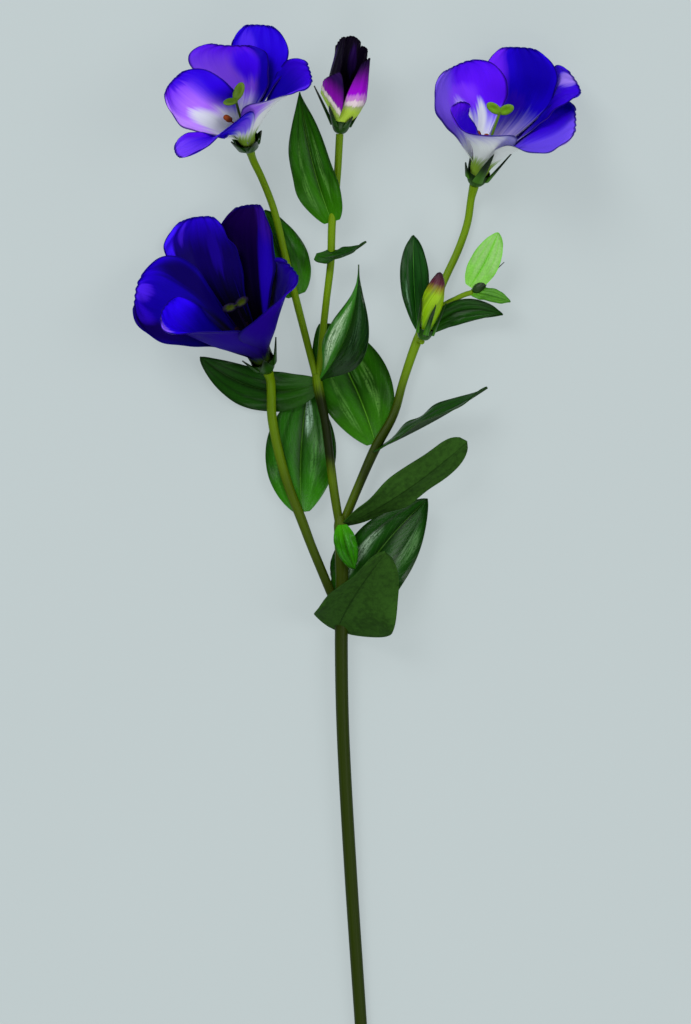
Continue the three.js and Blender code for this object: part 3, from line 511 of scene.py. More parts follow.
@dataclass(frozen=True)
class BudFinish(Finish):
    """A bud's colours from its root to its tip, as (place, colour) stops, with furrows between its furls."""

    stops: tuple[tuple[float, Colour], ...]
    furrow: Colour = (52, 84, 8)
    furls: int = 5

    def dress(self, sheet: Sheet, u: Value, v: Value) -> Material:
        """Draws the colours and the furrows."""
        streak = sheet.streaks(u, v, *BUD_STREAKS)
        colour = sheet.node("ValToRGB", {"stops": self.stops}, {0: v + (streak - 0.5) * 0.12})
        furrows = (u * (math.pi * self.furls)).sine().step(0.55, 1.0)
        colour = sheet.blend(furrows * 0.4 * (1 - v.step(0.7, 0.85)), colour, self.furrow)
        colour = sheet.lit(colour, streak * 0.4 + 0.8)
        return sheet.tissue(colour, streak * 0.1 + 0.4, streak, 0.25)


# Meshes.


class Workbench:
    """Makes meshes with Blender's own operators."""

    @staticmethod
    def clear_selection() -> None:
        """Deselects everything."""
        bpy.ops.object.select_all(action="DESELECT")

    @classmethod
    def choose(cls, piece: Piece) -> None:
        """Makes one object the selected and active one."""
        cls.clear_selection()
        piece.select_set(True)
        bpy.context.view_layer.objects.active = piece

    @classmethod
    def grid(cls, name: str, faces: Faces, surface: Surface, crowd: bool = False) -> Piece:
        """A grid shaped to a surface.

        Args:
            name: The object's name.
            faces: How many faces it has across and along.
            surface: The surface, from arrays of u and v to points in millimetres in the layout.
            crowd: Whether the rows crowd towards the far end.

        Returns:
            The new object, with its u and v in a UV map.
        """
        cls.clear_selection()
        bpy.ops.mesh.primitive_grid_add(
            x_subdivisions=faces[0], y_subdivisions=faces[1], size=2, location=(0, 0, 0)
        )
        piece = bpy.context.object
        piece.name = name
        piece.data.name = name
        flat = np.zeros(len(piece.data.vertices) * 3)
        piece.data.vertices.foreach_get("co", flat)
        flat = flat.reshape(-1, 3)
        u, v = flat[:, 0], (flat[:, 1] + 1) / 2
        if crowd:
            v = np.sin(v * math.pi / 2)
        points = (surface(u, v) - np.array(LAYOUT_CENTRE)) * MILLIMETRE
        piece.data.vertices.foreach_set("co", points.astype(np.float32).ravel())
        corners = np.zeros(len(piece.data.loops), int)
        piece.data.loops.foreach_get("vertex_index", corners)
        places = np.column_stack([(u + 1) / 2, v])[corners]
        layer = piece.data.uv_layers[0]
        layer.name = SURFACE_MAP
        layer.data.foreach_set("uv", places.astype(np.float32).ravel())
        piece.data.update()
        return piece

    @classmethod
    def blade(cls, name: str, faces: Faces, surface: Surface, thickness: float, crowd: bool = False) -> Piece:
        """A grid with a thickness in millimetres, half to each side, and its second face marked."""
        piece = cls.grid(name, faces, surface, crowd)
        first = len(piece.data.vertices)
        cls.choose(piece)
        wall = piece.modifiers.new("Wall", "SOLIDIFY")
        wall.thickness = thickness * MILLIMETRE
        wall.offset = 0
        wall.use_even_offset = False
        bpy.ops.object.modifier_apply(modifier=wall.name)
        mark = piece.data.attributes.new(UNDERSIDE, "FLOAT", "POINT")
        mark.data.foreach_set("value", (np.arange(len(piece.data.vertices)) >= first).astype(np.float32))
        return piece

    @classmethod
    def rolled(cls, name: str, faces: Faces, surface: Surface) -> Piece:
        """A grid rolled into a closed body: seam and poles joined, ends filled, and faces turned outwards."""
        piece = cls.grid(name, faces, surface)
        cls.choose(piece)
        bpy.ops.object.mode_set(mode="EDIT")
        bpy.ops.mesh.select_all(action="SELECT")
        bpy.ops.mesh.remove_doubles(threshold=1e-6)
        bpy.ops.mesh.select_all(action="DESELECT")
        bpy.ops.mesh.select_non_manifold(extend=False, use_multi_face=False, use_verts=False)
        bpy.ops.mesh.fill_holes(sides=0)
        bpy.ops.mesh.select_all(action="SELECT")
        bpy.ops.mesh.normals_make_consistent(inside=False)
        bpy.ops.object.mode_set(mode="OBJECT")
        return piece

    @classmethod
    def join(cls, name: str, pieces: Sequence[Piece]) -> Piece:
        """Several objects joined as one."""
        cls.choose(pieces[0])
        for piece in pieces:
            piece.select_set(True)
        bpy.ops.object.join()
        pieces[0].name = name
        return pieces[0]

    @classmethod
    def hand_over(
        cls,
        piece: Piece,
        finish: Finish,
        slot: Slot,
        node: str,
        angle: float = SMOOTH_ANGLE,
        look: str = "",
    ) -> None:
        """Smooths and dresses a finished piece and puts it in its solid's place.

        Args:
            piece: The piece.
            finish: Its finish.
            slot: Its tissue; not used.
            node: The solid it replaces.
            angle: Edges sharper than this many degrees stay sharp.
            look: The material's name, if it isn't the solid's.
        """
        cls.choose(piece)
        bpy.ops.object.shade_smooth_by_angle(angle=math.radians(angle))
        piece.data.materials.clear()
        piece.data.materials.append(finish.material(look or node))
        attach(piece, "root")
        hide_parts(node)
        LOG.info("%s: %d faces", piece.name, len(piece.data.polygons))


# Shapes.


@dataclass(frozen=True)
class Route:
    """A smooth curve through stops, each a point and a radius, in millimetres."""

    stops: Stops

    def at(self, share: Array) -> tuple[Array, Array]:
        """Points and radii at shares of the route's spans.

        Args:
            share: Places from 0 to 1.

        Returns:
            The points, one a row, and the radii.
        """
        stops = np.array(self.stops, float)
        points = stops[:, :3]
        padded = np.vstack([2 * points[0] - points[1], points, 2 * points[-1] - points[-2]])
        spans = len(points) - 1
        place = np.clip(np.asarray(share, float), 0, 1) * spans
        k = np.minimum(place.astype(int), spans - 1)
        t = (place - k)[:, None]
        p0, p1, p2, p3 = (padded[k + i] for i in range(4))
        pairs = ((p0, p1), (p1, p2), (p2, p3))
        d0, d1, d2 = (np.linalg.norm(b - a, axis=1)[:, None] ** 0.5 for a, b in pairs)
        start = ((p1 - p0) / d0 - (p2 - p0) / (d0 + d1) + (p2 - p1) / d1) * d1
        end = ((p2 - p1) / d1 - (p3 - p1) / (d1 + d2) + (p3 - p2) / d2) * d1
        c2 = -3 * p1 + 3 * p2 - 2 * start - end
        c3 = 2 * p1 - 2 * p2 + start + end
        radii = stops[k, 3] * (1 - t[:, 0]) + stops[k + 1, 3] * t[:, 0]
        return p1 + start * t + c2 * t**2 + c3 * t**3, radii

    def tube(self, name: str, faces: Faces, slant: float = 0.0, swell: float = 0.0) -> Piece:
        """A closed round tube along the route.

        Args:
            name: The object's name.
            faces: How many faces it has round and along.
            slant: How far the first end's cut leans, as a share of its radius.
            swell: How much fuller the tube is at its far end, as a share of its radius.

        Returns:
            The tube.
        """

        def surface(u: Array, v: Array) -> Array:
            """A point at the angle u and the share v of the way."""
            centre, radius = self.at(v)
            along = unit(self.at(np.minimum(v + STEP, 1))[0] - self.at(np.maximum(v - STEP, 0))[0])
            side = unit(np.array([1.0, 0.0, 0.0]) - along * along[:, :1])
            up = np.cross(along, side)
            angle = (math.pi * u)[:, None]
            radius = (radius * (1 + swell * ease(v, 0.9, 1.0)))[:, None]
            lean = along * slant * radius * np.cos(angle) * (v < 1e-6)[:, None]
            return centre + side * radius * np.cos(angle) + up * radius * np.sin(angle) + lean

        return Workbench.rolled(name, faces, surface)


def turned(name: str, profile: Profile, sides: int, place: Callable[[Array], Array]) -> Piece:
    """A solid turned about a flower's own axis.

    Args:
        name: The object's name.
        profile: Points (radius, height) from its foot up, joined smoothly.
        sides: Faces round it.
        place: Puts points of the flower's frame in the layout.

    Returns:
        The solid.
    """
    radii, heights = np.array(profile, float).T
    stations = np.linspace(0, 1, len(profile))

    def surface(u: Array, v: Array) -> Array:
        """A point at the angle u and the share v of the profile."""
        weights = spline_weights(stations, v)
        radius, height = np.maximum(radii @ weights, 0), heights @ weights
        return place(np.column_stack([radius * np.cos(math.pi * u), radius * np.sin(math.pi * u), height]))

    return Workbench.rolled(name, (sides, 4 * (len(profile) - 1)), surface)


def spline_weights(stations: Sequence[float], v: Array) -> Array:
    """The weights at v of the values at the stations, one row a station, on a smooth curve through them."""
    last = len(stations) - 1
    weights = np.zeros((last + 1, v.size))
    span = np.clip(np.searchsorted(stations, v, side="right") - 1, 0, last - 1)
    for k in range(last):
        here = span == k
        gap = stations[k + 1] - stations[k]
        t = (v[here] - stations[k]) / gap
        weights[k, here] += 2 * t**3 - 3 * t**2 + 1
        weights[k + 1, here] += 3 * t**2 - 2 * t**3
        for station, share in ((k, t**3 - 2 * t**2 + t), (k + 1, t**3 - t**2)):
            low, high = max(station - 1, 0), min(station + 1, last)
            lean = share * gap / (stations[high] - stations[low])
            weights[high, here] += lean
            weights[low, here] -= lean
    return weights


def directions(azimuth: float) -> tuple[Array, Array, Array]:
    """The directions outwards, sideways and along a flower's axis, at an azimuth in radians about it."""
    c, s = math.cos(azimuth), math.sin(azimuth)
    return np.array([c, s, 0]), np.array([-s, c, 0]), np.array([0, 0, 1.0])


# Leaves.

LEAF_FACES = (40, 64)
LEAF_THICKNESS = 0.6
LEAF_BASE_SHIFT = 0.035
LEAST_HALF = 0.5
LEAF_WAVES = 2.2
RIPPLE_DEPTH = 0.25
GROOVE_DEPTH = 0.25
GROOVE_REACH = 0.08
MIDRIB_DEPTH = 0.2


@dataclass(frozen=True)
class Leaf:
    """A leaf, in millimetres and degrees.

    Its midrib runs from base past bend to tip, and its upper side looks along face, given at the base and
    at the tip. half is its widest half width. The halves fold up from the midrib by fold, the margins rise
    and fall by wave, and ears is how far back they reach beside the base. A small point blunts its tip, and
    a small shoulder its base. lean widens the half on its right, and lobe is the share of its length over
    which a broad base rounds off.
    """

    name: str
    base: Point
    bend: Point
    tip: Point
    half: float
    face: tuple[Point, Point]
    fold: float
    wave: float
    point: float
    shoulder: float = 0.62
    ears: float = 0.0
    lean: float = 0.0
    lobe: float = 0.0
    slot: Slot = Slot.LEAF
    finish: LeafFinish = LeafFinish()

    def outline(self, v: Array) -> Array:
        """Half the width at v, as a share of the widest."""
        widest = (self.shoulder - LEAF_BASE_SHIFT * self.point) / (self.shoulder + self.point)

        def raw(w: Array) -> Array:
            """The outline before it is scaled."""
            return (w + LEAF_BASE_SHIFT) ** self.shoulder * np.maximum(1 - w, 0) ** self.point

        rounding = np.sqrt(1 - (1 - np.minimum(v / self.lobe, 1)) ** 2) if self.lobe else 1.0
        return raw(v) / raw(np.array(widest)) * rounding

    def surface(self, u: Array, v: Array) -> Array:
        """Points of the leaf's middle surface."""
        base, bend, tip = (np.array(p) for p in (self.base, self.bend, self.tip))
        w = v[:, None]
        middle = base * (1 - w) ** 2 + bend * 2 * w * (1 - w) + tip * w**2
        along = unit((bend - base) * (1 - w) + (tip - bend) * w)
        face = np.array(self.face[0]) * (1 - w) + np.array(self.face[1]) * w
        up = unit(face - along * np.sum(face * along, axis=1, keepdims=True))
        side = np.cross(along, up)
        half = self.half * self.outline(v) * (1 + self.lean * u) + LEAST_HALF * (1 - v**8)
        rise = math.tan(math.radians(self.fold)) * half * np.sqrt(u * u + 0.01)
        waves = self.wave * u * u * np.sin(2 * math.pi * LEAF_WAVES * v + u)
        ripples = RIPPLE_DEPTH * u * u * np.sin(23 * v + 5 * u)
        swell = 0.09 * half * np.sin(math.pi * np.clip(np.abs(u) / 0.9, 0, 1)) ** 0.7
        groove = GROOVE_DEPTH * np.exp(-(((np.abs(u) - 0.5 + 0.06 * np.sin(7 * v)) / GROOVE_REACH) ** 2))
        relief = (swell - groove - MIDRIB_DEPTH) * ease(1 - v, 0, 0.5)
        lift = (rise + waves + ripples + relief) * ease(v, 0, 0.35)
        back = along * (self.ears * u * u * (1 - v) ** 2)[:, None]
        return middle + side * (u * half)[:, None] + up * lift[:, None] - back

    def build(self) -> None:
        """Makes the leaf in its solid's place."""
        piece = Workbench.blade(f"{self.name}_blade", LEAF_FACES, self.surface, LEAF_THICKNESS)
        Workbench.hand_over(piece, self.finish, self.slot, self.name)


# Flowers.

PETAL_THICKNESS = 0.45
PETAL_FACES = (48, 64)
BUD_PETAL_FACES = (32, 48)
SEPAL_THICKNESS = 0.7
SEPAL_FACES = (10, 20)
LOBE_FACES = (32, 20)
ANTHER_FACES = (16, 12)
ANTHER_LEAN = math.radians(30)
THREAD_FACES = (8, 16)
CUP_PROFILE = ((0, 0), (2.3, 0), (4.4, 1.6), (5.9, 5), (6.4, 8.2), (5.9, 8.2), (5, 4.6), (4.2, 2.6), (0, 2.4))
COROLLA_FLOOR = 4.45


@dataclass(frozen=True)
class Seat:
    """Where a flower stands: its calyx's foot, and its axis's tilt above the table and heading in degrees."""

    base: Point
    tilt: float
    heading: float

    def place(self, points: Array) -> Array:
        """Puts points of the flower's frame in the layout.

        Args:
            points: One a row: towards the flower's upper side, to its right, and along its axis.

        Returns:
            The points in the layout.
        """
        tilt, heading = math.radians(self.tilt), math.radians(self.heading)
        level = math.cos(tilt)
        axis = np.array([level * math.sin(heading), level * math.cos(heading), math.sin(tilt)])
        upper = unit(np.array([0.0, 0.0, 1.0]) - axis * axis[2])
        basis = np.stack([upper, np.cross(axis, upper), axis])
        return np.array(self.base) + points @ basis


@dataclass(frozen=True)
class Tube:
    """A corolla's short tube: its rings at the root and at the mouth, and the stations of a petal's rows.

    A ring is a radius, a height and half of the angle that one petal takes up.
    """

    root: tuple[float, float, float]
    mouth: tuple[float, float, float]
    stations: tuple[float, ...]


BLOOM_TUBE = Tube(root=(3.2, 3.2, 50), mouth=(5.6, 14, 48), stations=(0, 0.2, 0.45, 0.75, 1))
BUD_TUBE = Tube(root=(2.4, 2.7, 50), mouth=(5.3, 8, 48), stations=(0, 0.2, 0.55, 1))


@dataclass(frozen=True)
class Petal:
    """A petal: its azimuth about the axis, and rows of three points across it, beyond the tube's mouth.

    Points are in the flower's frame. ruffle waves the margins, frill ripples them finely and pleat creases
    the blade along its length, all in millimetres, and phase shifts these waves. tip_share is how wide its
    end is, as a share of its last row.
    """

    name: str
    azimuth: float
    rows: tuple[Row, ...]
    phase: float
    finish: PetalFinish
    ruffle: float = 1.2
    frill: float = 0.45
    pleat: float = 0.12
    tip_share: float = 0.4

    def surface(self, tube: Tube) -> Surface:
        """The petal's middle surface in the flower's frame."""

        def ring(radius: float, height: float, span: float) -> list[Point]:
            """Three points on a ring about the axis."""
            angles = [math.radians(self.azimuth + u * span) for u in (-1, 0, 1)]
            return [(radius * math.cos(a), radius * math.sin(a), height) for a in angles]

        through = np.array([ring(*tube.root), ring(*tube.mouth), *self.rows], float)

        def sheet(u: Array, v: Array) -> Array:
            """The surface before its margins are waved."""
            narrowed = u * np.sqrt(np.maximum(1 - (1 - self.tip_share**2) * v**9, 0))
            shares = np.stack([narrowed * (narrowed - 1) / 2, 1 - narrowed**2, narrowed * (narrowed + 1) / 2])
            return np.einsum("kn,cn,kcx->nx", spline_weights(tube.stations, v), shares, through)

        def surface(u: Array, v: Array) -> Array:
            """The finished surface."""
            sideways = sheet(u + STEP, v) - sheet(u - STEP, v)
            along = sheet(u, np.minimum(v + STEP, 1)) - sheet(u, np.maximum(v - STEP, 0))
            inward = unit(np.cross(along, sideways))
            edge = np.abs(u) ** 3 * v + 0.5 * v**8
            waves = self.ruffle * np.sin(11 * v + 3 * u + self.phase) * edge
            outer = np.clip(np.abs(u) ** 5 * v + v**12, 0, 1)
            frills = self.frill * outer * np.sin(31 * v + 17 * u + 2 * self.phase)
            folds = np.sin(15 * u + 3 * self.phase + 2 * v) * ease(v, 0.25, 0.7) * (1 - np.abs(u) ** 4)
            staggered = 1.3 * u * ease(v, 0.15, 0.3) * (1 - ease(v, 0.35, 0.7))
            return sheet(u, v) + inward * (waves + frills + self.pleat * folds - staggered)[:, None]

        return surface

    def build(self, flower: str, seat: Seat, tube: Tube, faces: Faces) -> None:
        """Makes the petal in its flower."""
        own = self.surface(tube)
        name = f"{flower}_petal_{self.name}"
        piece = Workbench.blade(name, faces, lambda u, v: seat.place(own(u, v)), PETAL_THICKNESS, crowd=True)
        Workbench.hand_over(piece, self.finish, Slot.PETAL, f"{flower}_corolla", look=name)


@dataclass(frozen=True)
class Calyx:
    """A cup of the size cup and five pointed sepals, each with its own reach, and a splay beyond spread."""

    cup: float
    turn: float
    reaches: tuple[float, ...]
    spread: float
    width: float = 5.8
    splays: tuple[float, ...] = (0, 0, 0, 0, 0)
    finish: PlainFinish = PlainFinish(root=(26, 66, 4), end=(12, 32, 4), roughness=0.3)

    def sepal(self, k: int, seat: Seat) -> Surface:
        """The middle surface of sepal k in the layout."""
        radial, sideways, _ = directions(math.radians(self.turn + PETALS_APART * k))
        lean, reach = math.radians(self.spread + self.splays[k]), self.reaches[k]

        def surface(u: Array, v: Array) -> Array:
            """A point of the sepal."""
            half = self.cup * self.width * (1 - v) ** 0.8 / 2 + 0.3 * (1 - v**6)
            bowed = half * half * u * u / (12 * self.cup)
            sunk = 0.7 * np.sqrt(np.maximum(1 - np.abs(u), 0)) * (1 - v)
            curl = 0.8 * v**2 * np.sin(2.1 * k + 1)
            out = self.cup * 6 + reach * v * math.sin(lean) - (bowed - sunk) + curl
            points = radial * out[:, None] + sideways * (half * u + 0.6 * v**2 * math.cos(3.3 * k))[:, None]
            points[:, 2] = self.cup * 5 + reach * v * math.cos(lean)
            return seat.place(points)

        return surface

    def build(self, flower: str, seat: Seat) -> None:
        """Makes the calyx in its solid's place."""
        pieces = [turned("cup", [(r * self.cup, h * self.cup) for r, h in CUP_PROFILE], 40, seat.place)]
        for k in range(len(self.reaches)):
            pieces.append(Workbench.blade("sepal", SEPAL_FACES, self.sepal(k, seat), SEPAL_THICKNESS))
        piece = Workbench.join(f"{flower}_sepals", pieces)
        Workbench.hand_over(piece, self.finish, Slot.CALYX, f"{flower}_calyx", SEPAL_ANGLE)


@dataclass(frozen=True)
class Pistil:
    """The ovary, the style of the given height, and a stigma of two lobes, turned by turn degrees.

    pitches is how steeply each lobe rises, roll how far their faces turn about their own length, and size how
    large the lobes are.
    """

    height: float
    turn: float
    pitches: tuple[float, float] = (30, 30)
    roll: float = 0
    size: float = 1.0
    finish: PlainFinish = PlainFinish(root=(96, 128, 40), end=(96, 146, 2), turn=0.7, gloss=0.15)

    def build(self, flower: str, seat: Seat) -> None:
        """Makes the pistil in its solid's place, on the corolla's floor."""
        ovary = [(0, 0), (1.2, 0), (1.5, 3.5), (1.3, 8), (0.75, 12)]
        style = [(0.65, self.height - 4), (0.8, self.height), (0, self.height)]
        profile = [(radius, height + COROLLA_FLOOR) for radius, height in (*ovary, *style)]
        pieces = [turned("style", profile, 20, seat.place)]
        top = self.height + COROLLA_FLOOR - 0.8
        for side, pitch, roll in ((0, self.pitches[0], self.roll), (180, self.pitches[1], -self.roll)):
            turns = (math.radians(angle) for angle in (self.turn + side, pitch, roll))
            pieces.append(self._lobe(*turns, top, seat))
        piece = Workbench.join(f"{flower}_style_and_stigma", pieces)
        Workbench.hand_over(piece, self.finish, Slot.PISTIL, f"{flower}_pistil")

    def _lobe(self, azimuth: float, rise: float, roll: float, height: float, seat: Seat) -> Piece:
        """One lobe of the stigma: a thick oval leaf with a dished face and a rolled rim."""
        radial, sideways, axis = directions(azimuth)
        out = radial * math.cos(rise) + axis * math.sin(rise)
        level = axis * math.cos(rise) - radial * math.sin(rise)
        up = level * math.cos(roll) - sideways * math.sin(roll)
        aside = sideways * math.cos(roll) + level * math.sin(roll)

        def surface(u: Array, v: Array) -> Array:
            """A point of the lobe: u round it, v from its underside to its face."""
            ring = np.sin(math.pi * v)
            across = 2.3 * self.size * ring * np.sin(math.pi * u)
            reach = self.size * (3.3 + 3.9 * ring * np.cos(math.pi * u))
            thick = -1.1 * np.cos(math.pi * v) - 0.9 * np.exp(-((ring / 0.55) ** 2)) * (v > 0.5)
            points = out * reach[:, None] + aside * across[:, None] + up * thick[:, None]
            return seat.place(points + axis * height)

        return Workbench.rolled("lobe", LOBE_FACES, surface)


@dataclass(frozen=True)
class Stamens:
    """Filaments on a ring about the ovary. Each reaches up, bows out, and bears an anther of its size."""

    turn: float
    filaments: tuple[tuple[float, float, float], ...]
    finish: PlainFinish = PlainFinish((120, 60, 24), (124, 56, 22), 0.6, 0.1, roughness=0.7, gloss=0.1)

    def build(self, flower: str, seat: Seat) -> None:
        """Makes the stamens in their solid's place, on the corolla's floor."""
        floor = COROLLA_FLOOR
        ring = [(1.95, floor), (2.55, floor), (2.55, floor + 1), (1.95, floor + 1), (1.95, floor)]
        pieces = [turned("ring", ring, 24, seat.place)]
        for k, (reach, bow, size) in enumerate(self.filaments):
            azimuth = math.radians(self.turn + PETALS_APART * k)
            radial, _, axis = directions(azimuth)
            way = ((2.25, 0.4), (2.25, reach / 2), (bow, reach))
            points = seat.place(np.array([radial * r + axis * (floor + h) for r, h in way]))
            stops = tuple((*point, radius) for point, radius in zip(points, (0.4, 0.35, 0.35)))
            pieces.append(Route(stops).tube("filament", THREAD_FACES))
            pieces.append(self._anther(azimuth, bow + 0.4, floor + reach + 0.6, size, seat))
        piece = Workbench.join(f"{flower}_filaments_and_anthers", pieces)
        Workbench.hand_over(piece, self.finish, Slot.STAMENS, f"{flower}_stamens")

    @staticmethod
    def _anther(azimuth: float, bow: float, height: float, size: float, seat: Seat) -> Piece:
        """One anther: two pollen sacs side by side."""
        radial, sideways, axis = directions(azimuth)
        out = axis * math.cos(ANTHER_LEAN) + radial * math.sin(ANTHER_LEAN)
        flat = radial * math.cos(ANTHER_LEAN) - axis * math.sin(ANTHER_LEAN)

        def surface(u: Array, v: Array) -> Array:
            """A point of the anther: u round it, v along it."""
            ring = np.sin(math.pi * v) ** 0.7
            groove = 1 - 0.35 * np.exp(-((np.sin(math.pi * u) / 0.35) ** 2))
            long = (-1.6 * size * np.cos(math.pi * v))[:, None]
            wide = (1.2 * size * ring * np.sin(math.pi * u))[:, None]
            deep = (1.1 * size * ring * groove * np.cos(math.pi * u))[:, None]
            return seat.place(out * long + sideways * wide + flat * deep + radial * bow + axis * height)

        return Workbench.rolled("anther", ANTHER_FACES, surface)


@dataclass(frozen=True)
class HalfOpenBud:
    """A bud whose petals are still furled round each other."""

    name: str
    seat: Seat
    petals: tuple[Petal, ...]
    calyx: Calyx

    def build(self) -> None:
        """Makes the bud's pieces."""
        for petal in self.petals:
            petal.build(self.name, self.seat, BUD_TUBE, BUD_PETAL_FACES)
        self.calyx.build(self.name, self.seat)


@dataclass(frozen=True)
class Bloom:
    """An open bloom."""

    name: str
    seat: Seat
    petals: tuple[Petal, ...]
    calyx: Calyx
    pistil: Pistil
    stamens: Stamens

    def build(self) -> None:
        """Makes the bloom's pieces."""
        for petal in self.petals:
            petal.build(self.name, self.seat, BLOOM_TUBE, PETAL_FACES)
        for part in (self.calyx, self.pistil, self.stamens):
            part.build(self.name, self.seat)


@dataclass(frozen=True)
class FurledBody:
    """A body of petals wound round each other, from a profile of (radius, height) points."""

    profile: tuple[tuple[float, float], ...]
    furls: int
    turns_per_millimetre: float
    ridge: float

    def build(self, name: str, seat: Seat) -> Piece:
        """Makes the closed body."""
        radii, heights = np.array(self.profile, float).T
        stations = np.linspace(0, 1, len(self.profile))

        def surface(u: Array, v: Array) -> Array:
            """A point: u round the body, v along it, closed at both ends."""
            weights = spline_weights(stations, np.clip((v - 0.02) / 0.96, 0, 1))
            radius = (radii @ weights) * ease(v, -0.02, 0.02) * ease(1 - v, -0.001, 0.03)
            height = np.where(v > 0.98, heights[-1] + 0.4 * ease(v, 0.98, 1), heights @ weights)
            saw = (self.furls * (u + 1) / 2) % 1
            radius = radius * (1 + self.ridge * (2.4 * saw - 1.2) * ease(1 - saw, 0, 0.12))
            wound = math.pi * u + 2 * math.pi * self.turns_per_millimetre * height
            return seat.place(np.column_stack([radius * np.cos(wound), radius * np.sin(wound), height]))

        return Workbench.rolled(name, (40 * self.furls, 60), surface)


@dataclass(frozen=True)
class ClosedBud:
    """A closed bud in its calyx."""

    name: str
    seat: Seat
    body: FurledBody
    calyx: Calyx
    finish: BudFinish

    def build(self) -> None:
        """Makes the bud's pieces."""
        piece = self.body.build(f"{self.name}_furled_petals", self.seat)
        Workbench.hand_over(piece, self.finish, Slot.BUD, f"{self.name}_corolla")
        self.calyx.build(self.name, self.seat)


@dataclass(frozen=True)
class FormingBud:
    """A bud still forming: a small calyx with two long bristles, each given by its side and its reach."""

    name: str
    seat: Seat
    body: FurledBody
    bristles: tuple[tuple[float, float], ...]
    finish: PlainFinish = PlainFinish(root=(30, 62, 14), end=(22, 44, 12))

    def build(self) -> None:
        """Makes the bud in its solid's place."""
        pieces = [self.body.build("body", self.seat)]
        for side, reach in self.bristles:
            way = np.array([(0, side * 0.5, 2), (-1, side, reach / 2), (0, side * 1.5, reach)], float)
            stops = tuple((*point, radius) for point, radius in zip(self.seat.place(way), (0.4, 0.34, 0.2)))
            pieces.append(Route(stops).tube("bristle", THREAD_FACES))
        piece = Workbench.join(f"{self.name}_and_bristles", pieces)
        Workbench.hand_over(piece, self.finish, Slot.CALYX, self.name)


# The stem.


@dataclass(frozen=True)
class Stem:
    """The stem and its branches: the main one is cut aslant, and those that bear a bloom swell at the end."""

    routes: Mapping[str, Stops]
    finish: StemFinish = StemFinish()
    cut_slant: float = 0.9
    bloom_swell: float = 0.12

    def build(self) -> None:
        """Makes every stalk, joined in the solid's place."""
        stalks = []
        for name, stops in self.routes.items():
            length = np.linalg.norm(np.diff(np.array(stops)[:, :3], axis=0), axis=1).sum()
            slant = self.cut_slant if name == "main" else 0.0
            swell = self.bloom_swell if name.endswith("Bloom") else 0.0
            stalks.append(Route(stops).tube(name, (24, max(12, int(length / 3))), slant, swell))
        Workbench.hand_over(Workbench.join("stem_and_branches", stalks), self.finish, Slot.STEM, "stem")


# The spray itself: its stalks, its leaves' finishes and its leaves.

STEM = Stem(
    routes={
        "main": ((10.5, -45, 3.3, 3.1), (7.6, 0, 4, 3.1), (2.7, 73, 6, 3.2), (-1.3, 146.5, 8, 3.2),
            (-2.1, 189, 9.5, 3.3), (-1.8, 223, 10, 3.2), (-2.4, 249, 10.5, 3.5), (-2.6, 254, 10.5, 2.6)),
        "centre": ((-2.4, 246, 10.5, 2.2), (-5.9, 267.5, 11, 2.3), (-8, 284.5, 11, 2.2),
            (-10.3, 302, 10.5, 2.2), (-13.6, 318, 10, 2.6), (-14.6, 325, 10, 2.3)),
        "leftBloom": ((-2, 202, 9.5, 2), (-8, 217, 10.5, 2.3), (-17.1, 239, 10, 2.3), (-22, 252, 9, 2.5),
            (-28.1, 267.5, 8, 2.4), (-33.2, 284.5, 7, 2.4), (-37, 304, 6.5, 2.4), (-37.3, 315, 6.8, 2.3),
            (-37.6, 322, 9.4, 2.3), (-38.9, 326.5, 12.8, 2.4)),
        "topLeftBloom": ((-14, 320, 10, 1.6), (-19.5, 342, 9.5, 1.8), (-24, 359.5, 8.5, 1.9),
            (-30.4, 385, 7, 1.8), (-36, 408, 6.5, 1.8), (-42, 423.5, 9.5, 1.8), (-46.2, 432.2, 14, 1.9),
            (-47.9, 437.3, 20.2, 2.1)),
        "halfOpenBud": ((-14, 320, 10, 1.6), (-11.6, 344, 11, 1.8), (-9.5, 363, 12, 1.8),
            (-7.4, 381, 13, 1.9), (-6.7, 401.5, 14, 2), (-4.4, 420.5, 15, 1.8), (-2.9, 445.3, 16, 1.9)),
        "rightBloom": ((-2.4, 246, 10.5, 2.2), (-0.6, 251.5, 10, 2.3), (7.2, 270.5, 9, 2.3),
            (15.2, 288.5, 8, 2.6), (24.2, 305, 7, 2.2), (29.1, 322, 6, 2.1), (36.4, 343, 5.5, 2.4),
            (43.3, 358, 5, 1.9), (50.8, 375, 4, 1.9), (57, 388.5, 3, 1.9), (61.5, 402, 3, 1.9),
            (63.2, 413.5, 5.2, 1.9), (64.7, 420.2, 9.3, 2.2)),
        "closedBud": ((36, 342.8, 5.5, 1.2), (37.3, 341.8, 8.6, 1.2), (38.45, 341.45, 11.1, 1.4)),
        "formingBud": ((37.5, 344, 5.5, 1.2), (44, 354, 7, 1.3), (49.4, 360, 8, 1.3),
            (55.6, 363.2, 9.5, 1.3), (60, 365.2, 11, 1.3), (64, 366.2, 12.4, 1.4)),
    },
)
